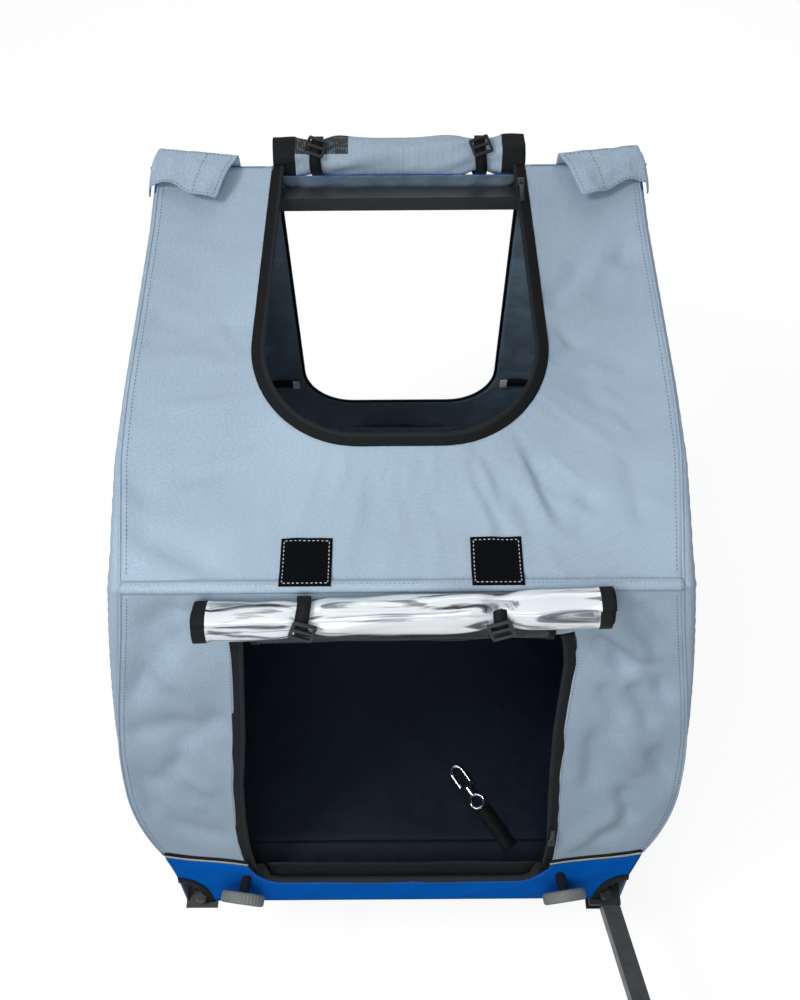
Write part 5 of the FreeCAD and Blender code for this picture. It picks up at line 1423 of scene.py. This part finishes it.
class TRAILER_OT_rolls(bpy.types.Operator):
    """Makes the rolled door window, its mesh and the rolled roof flap, with their ties"""

    bl_idname = "trailer.rolls"
    bl_label = "Rolled flaps"

    def execute(self, context):
        window_ties, roof_ties = mm(92), mm(93)
        film = "PVC film, rolled, with painted reflection"
        self.roll(
            "window_roll", [film, film, WEBBING], "clear_film", "front_cover", turns=5, core=mm(5),
            cloth=mm(0.4), end_band=mm(15), crumple=mm(3.0), start=2.2, tilt=2.5,
            ties=(-window_ties, window_ties), bunch=mm(1.6),
        )
        self.roll(
            "mesh_roll", [MESH, MESH, WEBBING], "black_mesh", "front_cover", turns=6, core=mm(2),
            cloth=mm(0.3), end_band=mm(8), crumple=mm(3.0), start=1.0, tilt=1.0,
        )
        self.roll(
            "roof_roll", [GREY, LINING, ZIP_TAPE, MESH], "grey_cloth", "rear_cover", turns=4, core=mm(7),
            cloth=mm(0.9), end_band=mm(26), crumple=mm(4.2), start=-0.6, tilt=0, ties=(-roof_ties, roof_ties),
            bunch=mm(4.0), pleats=6, mesh_share=0.3,
        )
        self.tie("window_roll", window_ties, mm(21), 0.35)
        self.tie("roof_roll", roof_ties, mm(24), 1.1)
        return {"FINISHED"}

    @staticmethod
    def roll(
        node, materials, slot, rests_on, turns, core, cloth, end_band, crumple, start, tilt,
        ties=(), bunch=0.0, pleats=9, mesh_share=0.0,
    ):
        """A sheet rolled on itself along X, drawn in and pleated at its ties and ragged at its ends."""
        low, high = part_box(node)
        centre = (low + high) / 2
        outer = (high.z - low.z) / 2 - mm(0.6)
        half = (high.x - low.x) / 2 * 0.98
        per_turn, along = 36, 90
        around = per_turn * turns
        rows = []
        for i in range(around + 1):
            angle = start + 2 * math.pi * i / per_turn
            share = i / around
            row = []
            for j in range(along + 1):
                x = -half + 2 * half * j / along
                x += mm(2.5) * noise.noise(Vector((angle * 0.4, 3.3, j // along))) * abs(x / half) ** 8
                radius = core + (outer - core) * share
                pinch = max((math.exp(-(((x - t) / mm(17)) ** 2)) for t in ties), default=0.0)
                pleat = max((math.exp(-(((x - t) / mm(34)) ** 2)) for t in ties), default=0.0) - pinch
                radius *= 1 - 0.2 * pinch
                # The bound ends stack up thicker than the rest.
                radius *= 1.06 if abs(x) > half - end_band and share > 0.4 else 1.0
                dent = noise.noise(Vector((x * 16, math.cos(angle) * 1.3 + share, math.sin(angle) * 1.3)))
                radius += crumple * share * dent
                radius += bunch * share * pleat * math.sin(angle * pleats + x * 60)
                radius = min(radius, outer + mm(1.2))
                lean = FRONT_UP * (x * math.tan(math.radians(tilt)))
                row.append(centre + lean + Vector((x, radius * math.cos(angle), radius * math.sin(angle))))
            rows.append(row)
        edge = max(1, round(end_band / (2 * half) * along))

        def pick(i, j):
            """The bound ends, and a strip of mesh that shows on top of the last turn toward one end."""
            if j < edge or j >= along - edge:
                return 2
            on_top = i > around - per_turn and math.sin(start + 2 * math.pi * i / per_turn) > 0.8
            return 3 if on_top and j < mesh_share * along else 0

        made = cloth_from_rows(node + "_cloth", rows, materials, cloth, flip=True, pick=pick)
        on_cover(made, slot, [node])

    @staticmethod
    def tie(node, reach, radius, lean):
        """Webbing ties round a roll, each closed by a ladder buckle that faces forward, leaning up."""
        low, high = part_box(node)
        centre = (low + high) / 2
        waist = radius * 0.82 + mm(0.8)
        right, away = Vector((1, 0, 0)), Vector((0, -math.cos(lean), math.sin(lean)))
        turn = Matrix((right, away.cross(right), away)).transposed()
        shape = strip_profile(-6.5, 6.5, 0, 1.2)
        blocks = []
        for label, side in SIDES[::-1]:
            x = side * reach
            loop, outs = [], []
            for angle in [2 * math.pi * i / 48 for i in range(49)]:
                out = Vector((0, math.cos(angle), math.sin(angle)))
                shift = x + mm(1.5) * math.sin(angle * 2 + side)
                loop.append(centre + Vector((shift, waist * math.cos(angle), waist * math.sin(angle))))
                outs.append(out)
            made = sweep("%s_tie_%s" % (node, label), loop, outs, shape, [WEBBING])
            on_cover(made, "webbing", ["roll_ties"])
            spot = centre + Vector((x, 0, 0)) + away * (waist + mm(2.6))
            tilt = turn @ Matrix.Rotation(0.35 * side, 3, "Z")
            for offset in (-mm(9), 0, mm(9)):
                blocks.append((spot + tilt @ Vector((0, offset, 0)), (mm(11), mm(1.7), mm(1.6)), tilt))
            for offset in (-mm(10), mm(10)):
                blocks.append((spot + tilt @ Vector((offset, 0, 0)), (mm(1.6), mm(9), mm(1.6)), tilt))
        made = box_parts(node + "_buckles", blocks, NYLON, mm(0.9))
        on_cover(made, "black_plastic", ["tie_toggles"])


class TRAILER_OT_floor(bpy.types.Operator):
    """Makes the cloth floor mat, its apron, the lip behind the door's foot and the tether strap"""

    bl_idname = "trailer.floor"
    bl_label = "Floor and tether"

    def execute(self, context):
        self.mat()
        self.lip()
        self.tether()
        return {"FINISHED"}

    @staticmethod
    def mat():
        """The mat, rounded down at its edges, and the apron from it up to the sill."""
        low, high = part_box("floor_mat")
        rows = []
        for y in between(low.y, high.y, 70):
            row = []
            for x in between(low.x, high.x, 70):
                near = min(x - low.x, high.x - x, y - low.y, high.y - y)
                lift = min(crease(Vector((x, y, 0)), CREASE_SEEDS["mat"], mm(3.0)), mm(1.8))
                z = high.z - mm(2.2) + lift * ease(near / mm(30)) - mm(2) * ease(1 - near / mm(8))
                row.append(Vector((x, y, z)))
            rows.append(row)
        made = cloth_from_rows("floor_mat_cloth", rows, [MAT, MAT], mm(2.0))
        declare_cloth(made, high.x - low.x, high.y - low.y, "laid", ["floor_board"])
        on_base(made, "mat_cloth", ["floor_mat"])

        # Millimetres behind the front and above the base tubes.
        steps = in_metres([(44, 25), (31, 22), (18, 22.5), (17, 32), (21.5, 47)])
        line = [Vector((0, low.y + mm(3), high.z - mm(1)))]
        line += [Vector((0, FRONT_Y + back, BASE_Z + rise)) for back, rise in steps]
        rows = []
        for p in resample(line, mm(4)):
            row = []
            for x in between(mm(-205), mm(205), 80):
                row.append(p + Vector((x, 0, mm(1.2) * noise.noise(Vector((x * 12, p.y * 20, 1))))))
            rows.append(row)
        made = cloth_from_rows("floor_apron", rows, [MAT, MAT], mm(1.0), flip=True)
        declare_cloth(made, 0.41, 0.085, "laid", ["cross_tubes", "floor_board"])
        on_base(made, "mat_cloth")

    @staticmethod
    def lip():
        """The lower half of the door's zip, behind the foot of the door, and the tabs at its ends."""
        rows = []
        for share in between(0, 1, 7):
            rise, back = mm(36) + mm(30) * share, mm(1.8) + mm(5) * ease(share)
            row = []
            for x in between(mm(-168), mm(166), 80):
                wave = mm(2.2) * noise.noise(Vector((x * 14, 3.7, 0.4))) * share
                row.append(front_point(x, rise + wave) - FRONT_OUT * (back + wave * 0.5))
            rows.append(row)
        cloths = [ZIP_TAPE, ZIP_TAPE, "nylon zip coil"]
        made = cloth_from_rows("door_lip", rows, cloths, mm(0.9), pick=lambda i, j: 2 if i == 6 else 0)
        declare_cloth(made, 0.334, 0.031, "stretched", ["front_sill_cover"])
        on_base(made, "zip_tape")
        turn = Matrix((Vector((1, 0, 0)), FRONT_UP, FRONT_OUT)).transposed()
        tabs = []
        for x, twist in ((mm(-172), 0.25), (mm(164), -0.25)):
            spot = front_point(x, mm(66)) + FRONT_OUT * mm(1.2)
            tabs.append((spot, (mm(5), mm(11), mm(0.9)), turn @ Matrix.Rotation(twist, 3, "Z")))
        made = box_parts("door_foot_tabs", tabs, WEBBING, mm(0.6))
        on_base(made, "webbing")

    @staticmethod
    def tether():
        """The webbing strap from its eye to the snap hook, a little raised in the middle."""
        eye_low, eye_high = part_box("tether_eye")
        low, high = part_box("tether_strap")
        start = Vector((eye_low.x + (eye_high.x - eye_low.x) * 0.85, eye_low.y + mm(3), low.z + mm(1.4)))
        stop = Vector((high.x - mm(7), low.y + mm(6), low.z + mm(1.0)))
        points = []
        for share in between(0, 1, 24):
            points.append(start.lerp(stop, share) + Vector((0, 0, mm(0.8) * math.sin(share * math.pi))))
        shape = strip_profile(-9.5, 9.5, -0.9, 0.9)
        made = sweep("tether_webbing", points, Vector((0, 0, 1)), shape, ["nylon webbing with painted shade"])
        on_base(made, "webbing", ["tether_strap"])


class TRAILER_OT_bumpers(bpy.types.Operator):
    """Makes the ribbed rubber bumpers at the front corners"""

    bl_idname = "trailer.bumpers"
    bl_label = "Bumpers"

    def execute(self, context):
        # Stud, back of the puck, rounded rim and dished face, as (radius, height).
        stud = [(0.1, -24), (6, -24), (6, 1.6), (15, 1.6), (16.5, 0), (23, 0)]
        rim = [(25, 0.6), (26.2, 2), (26.5, 4), (26.5, 7), (26.5, 10), (26.2, 12), (25, 13.4)]
        face = [(23, 14), (14, 14), (12.5, 13), (11.5, 11.2), (0.1, 11)]
        profile = in_metres(stud + rim + face)
        # Painted shadow: the third material, black rubber, goes on the stud and the inner back of the puck so
        # that they read as shade.
        materials = ["moulded rubber, grey", SILVER_TAPE_AND_PAINTED_GLINT, "moulded rubber, black"]
        for label, side in SIDES:
            spot = front_point(side * mm(197), mm(45)) - Vector((0, mm(16), 0))
            turn = Matrix.Rotation(side * math.radians(8), 4, "Z") @ Matrix.Rotation(math.radians(99), 4, "X")

            def rib(number, angle):
                if side < 0 and 7 <= number <= 11:
                    return 1 - 0.03 * (0.5 + 0.5 * math.cos(angle * 36)) ** 2
                return 1.0

            # Painted highlight: a silver stripe across the rim of the left-side bumper alone stands in for a
            # glint of light.
            def band(row, segment):
                painted_highlight = side > 0 and 6 <= row <= 11 and 0 <= segment - 172 - 2 * row <= 10
                return 1 if painted_highlight else 2 if row < 3 else 0

            place = Matrix.Translation(spot) @ turn
            made = turned(label + "_bumper", profile, 240, materials, place, rib, band)
            on_base(made, "grey_rubber", ["front_bumpers"])
        return {"FINISHED"}


class TRAILER_OT_stage(bpy.types.Operator):
    """Makes the floor, the lamps and the camera"""

    bl_idname = "trailer.stage"
    bl_label = "Stage"

    def execute(self, context):
        scene = context.scene
        scene.view_settings.view_transform = "Standard"
        self.ground()
        world = bpy.data.worlds.new("studio")
        world.use_nodes = True
        sky = world.node_tree.nodes["Background"]
        sky.inputs["Color"].default_value = (0.93, 0.96, 1.0, 1)
        sky.inputs["Strength"].default_value = 0.36
        scene.world = world
        # Place, target, watts and width of each lamp.
        for name, place, target, power, wide in (
            ("key", (-1.1, -0.2, 2.2), (0, 0.1, 0.6), 14, 0.45),
            ("fill", (-0.1, -0.5, 1.3), (0, 0.15, 0.7), 4.4, 0.6),
            ("back", (0.3, 2.6, 3.0), (0, 0.2, 0.6), 18, 1.6),
        ):
            data = bpy.data.lights.new(name, "AREA")
            data.energy = power
            data.size = wide
            lamp = bpy.data.objects.new(name, data)
            scene.collection.objects.link(lamp)
            lamp.location = place
            lamp.rotation_euler = (Vector(target) - Vector(place)).to_track_quat("-Z", "Y").to_euler()
        self.camera(scene)
        return {"FINISHED"}

    @staticmethod
    def ground():
        """A floor that glows where it is seen, so that it looks white and keeps the shadow."""
        tree, _, _ = open_material("studio floor")
        rays = put(tree, "ShaderNodeLightPath")
        # Seen by the camera, in metal or through film.
        seen = (rays, "Is Camera Ray")
        for kind in ("Is Glossy Ray", "Is Transmission Ray"):
            either = put(tree, "ShaderNodeMath", {0: seen, 1: (rays, kind)}, operation="MAXIMUM")
            seen = (either, "Value")
        glow = put(tree, "ShaderNodeMath", {0: seen, 1: 0.82}, operation="MULTIPLY")
        close_material(tree, {
            "Base Color": (0.3, 0.3, 0.3, 1),
            "Roughness": 0.9,
            "Emission Color": (1, 1, 1, 1),
            "Emission Strength": (glow, "Value"),
        })
        size = 12.0
        corners = [(-size, -size, 0), (size, -size, 0), (size, size, 0), (-size, size, 0)]
        floor = piece("studio_floor", corners, [(0, 1, 2, 3)], ["studio floor"])

    @staticmethod
    def camera(scene):
        stage = scene.trailer_stage
        data = bpy.data.cameras.new("camera")
        data.lens = stage.lens
        data.sensor_width = 36.0
        data.clip_end = 60
        camera = bpy.data.objects.new("camera", data)
        scene.collection.objects.link(camera)
        camera.location = (stage.camera_side, FRONT_Y - stage.camera_ahead, stage.camera_height)
        view = Matrix.Rotation(math.pi / 2 - stage.pitch, 3, "X") @ Matrix.Rotation(stage.roll, 3, "Z")
        camera.rotation_euler = view.to_euler()
        scene.camera = camera


class TRAILER_PT_panel(bpy.types.Panel):
    """Lists the trailer's pieces in the sidebar"""

    bl_idname = "TRAILER_PT_panel"
    bl_label = "Dog bike trailer"
    bl_space_type = "VIEW_3D"
    bl_region_type = "UI"
    bl_category = "Trailer"

    def draw(self, context):
        for operator in OPERATORS:
            self.layout.operator(operator.bl_idname)
        for group in ("trailer_colours", "trailer_sizes", "trailer_stage"):
            settings = getattr(context.scene, group)
            for name in settings.__annotations__:
                self.layout.prop(settings, name)


OPERATORS = (
    TRAILER_OT_finishes,
    TRAILER_OT_stage,
    TRAILER_OT_front_cover,
    TRAILER_OT_roof_and_rear,
    TRAILER_OT_sides,
    TRAILER_OT_seams,
    TRAILER_OT_zips,
    TRAILER_OT_sewn_pieces,
    TRAILER_OT_rolls,
    TRAILER_OT_floor,
    TRAILER_OT_bumpers,
)
CLASSES = (TrailerColours, TrailerSizes, TrailerStage, *OPERATORS, TRAILER_PT_panel)


def register():
    for item in CLASSES:
        bpy.utils.register_class(item)
    bpy.types.Scene.trailer_colours = bpy.props.PointerProperty(type=TrailerColours)
    bpy.types.Scene.trailer_sizes = bpy.props.PointerProperty(type=TrailerSizes)
    bpy.types.Scene.trailer_stage = bpy.props.PointerProperty(type=TrailerStage)


def unregister():
    del bpy.types.Scene.trailer_stage
    del bpy.types.Scene.trailer_sizes
    del bpy.types.Scene.trailer_colours
    for item in reversed(CLASSES):
        bpy.utils.unregister_class(item)


def main():
    noise.seed_set(CREASE_DRAW)
    register()
    bpy.ops.trailer.finishes()
    bpy.ops.trailer.stage()
    bpy.ops.trailer.front_cover()
    bpy.ops.trailer.roof_and_rear()
    bpy.ops.trailer.sides()
    bpy.ops.trailer.seams()
    bpy.ops.trailer.zips()
    bpy.ops.trailer.sewn_pieces()
    bpy.ops.trailer.rolls()
    bpy.ops.trailer.floor()
    bpy.ops.trailer.bumpers()


if __name__ == "__main__":
    main()
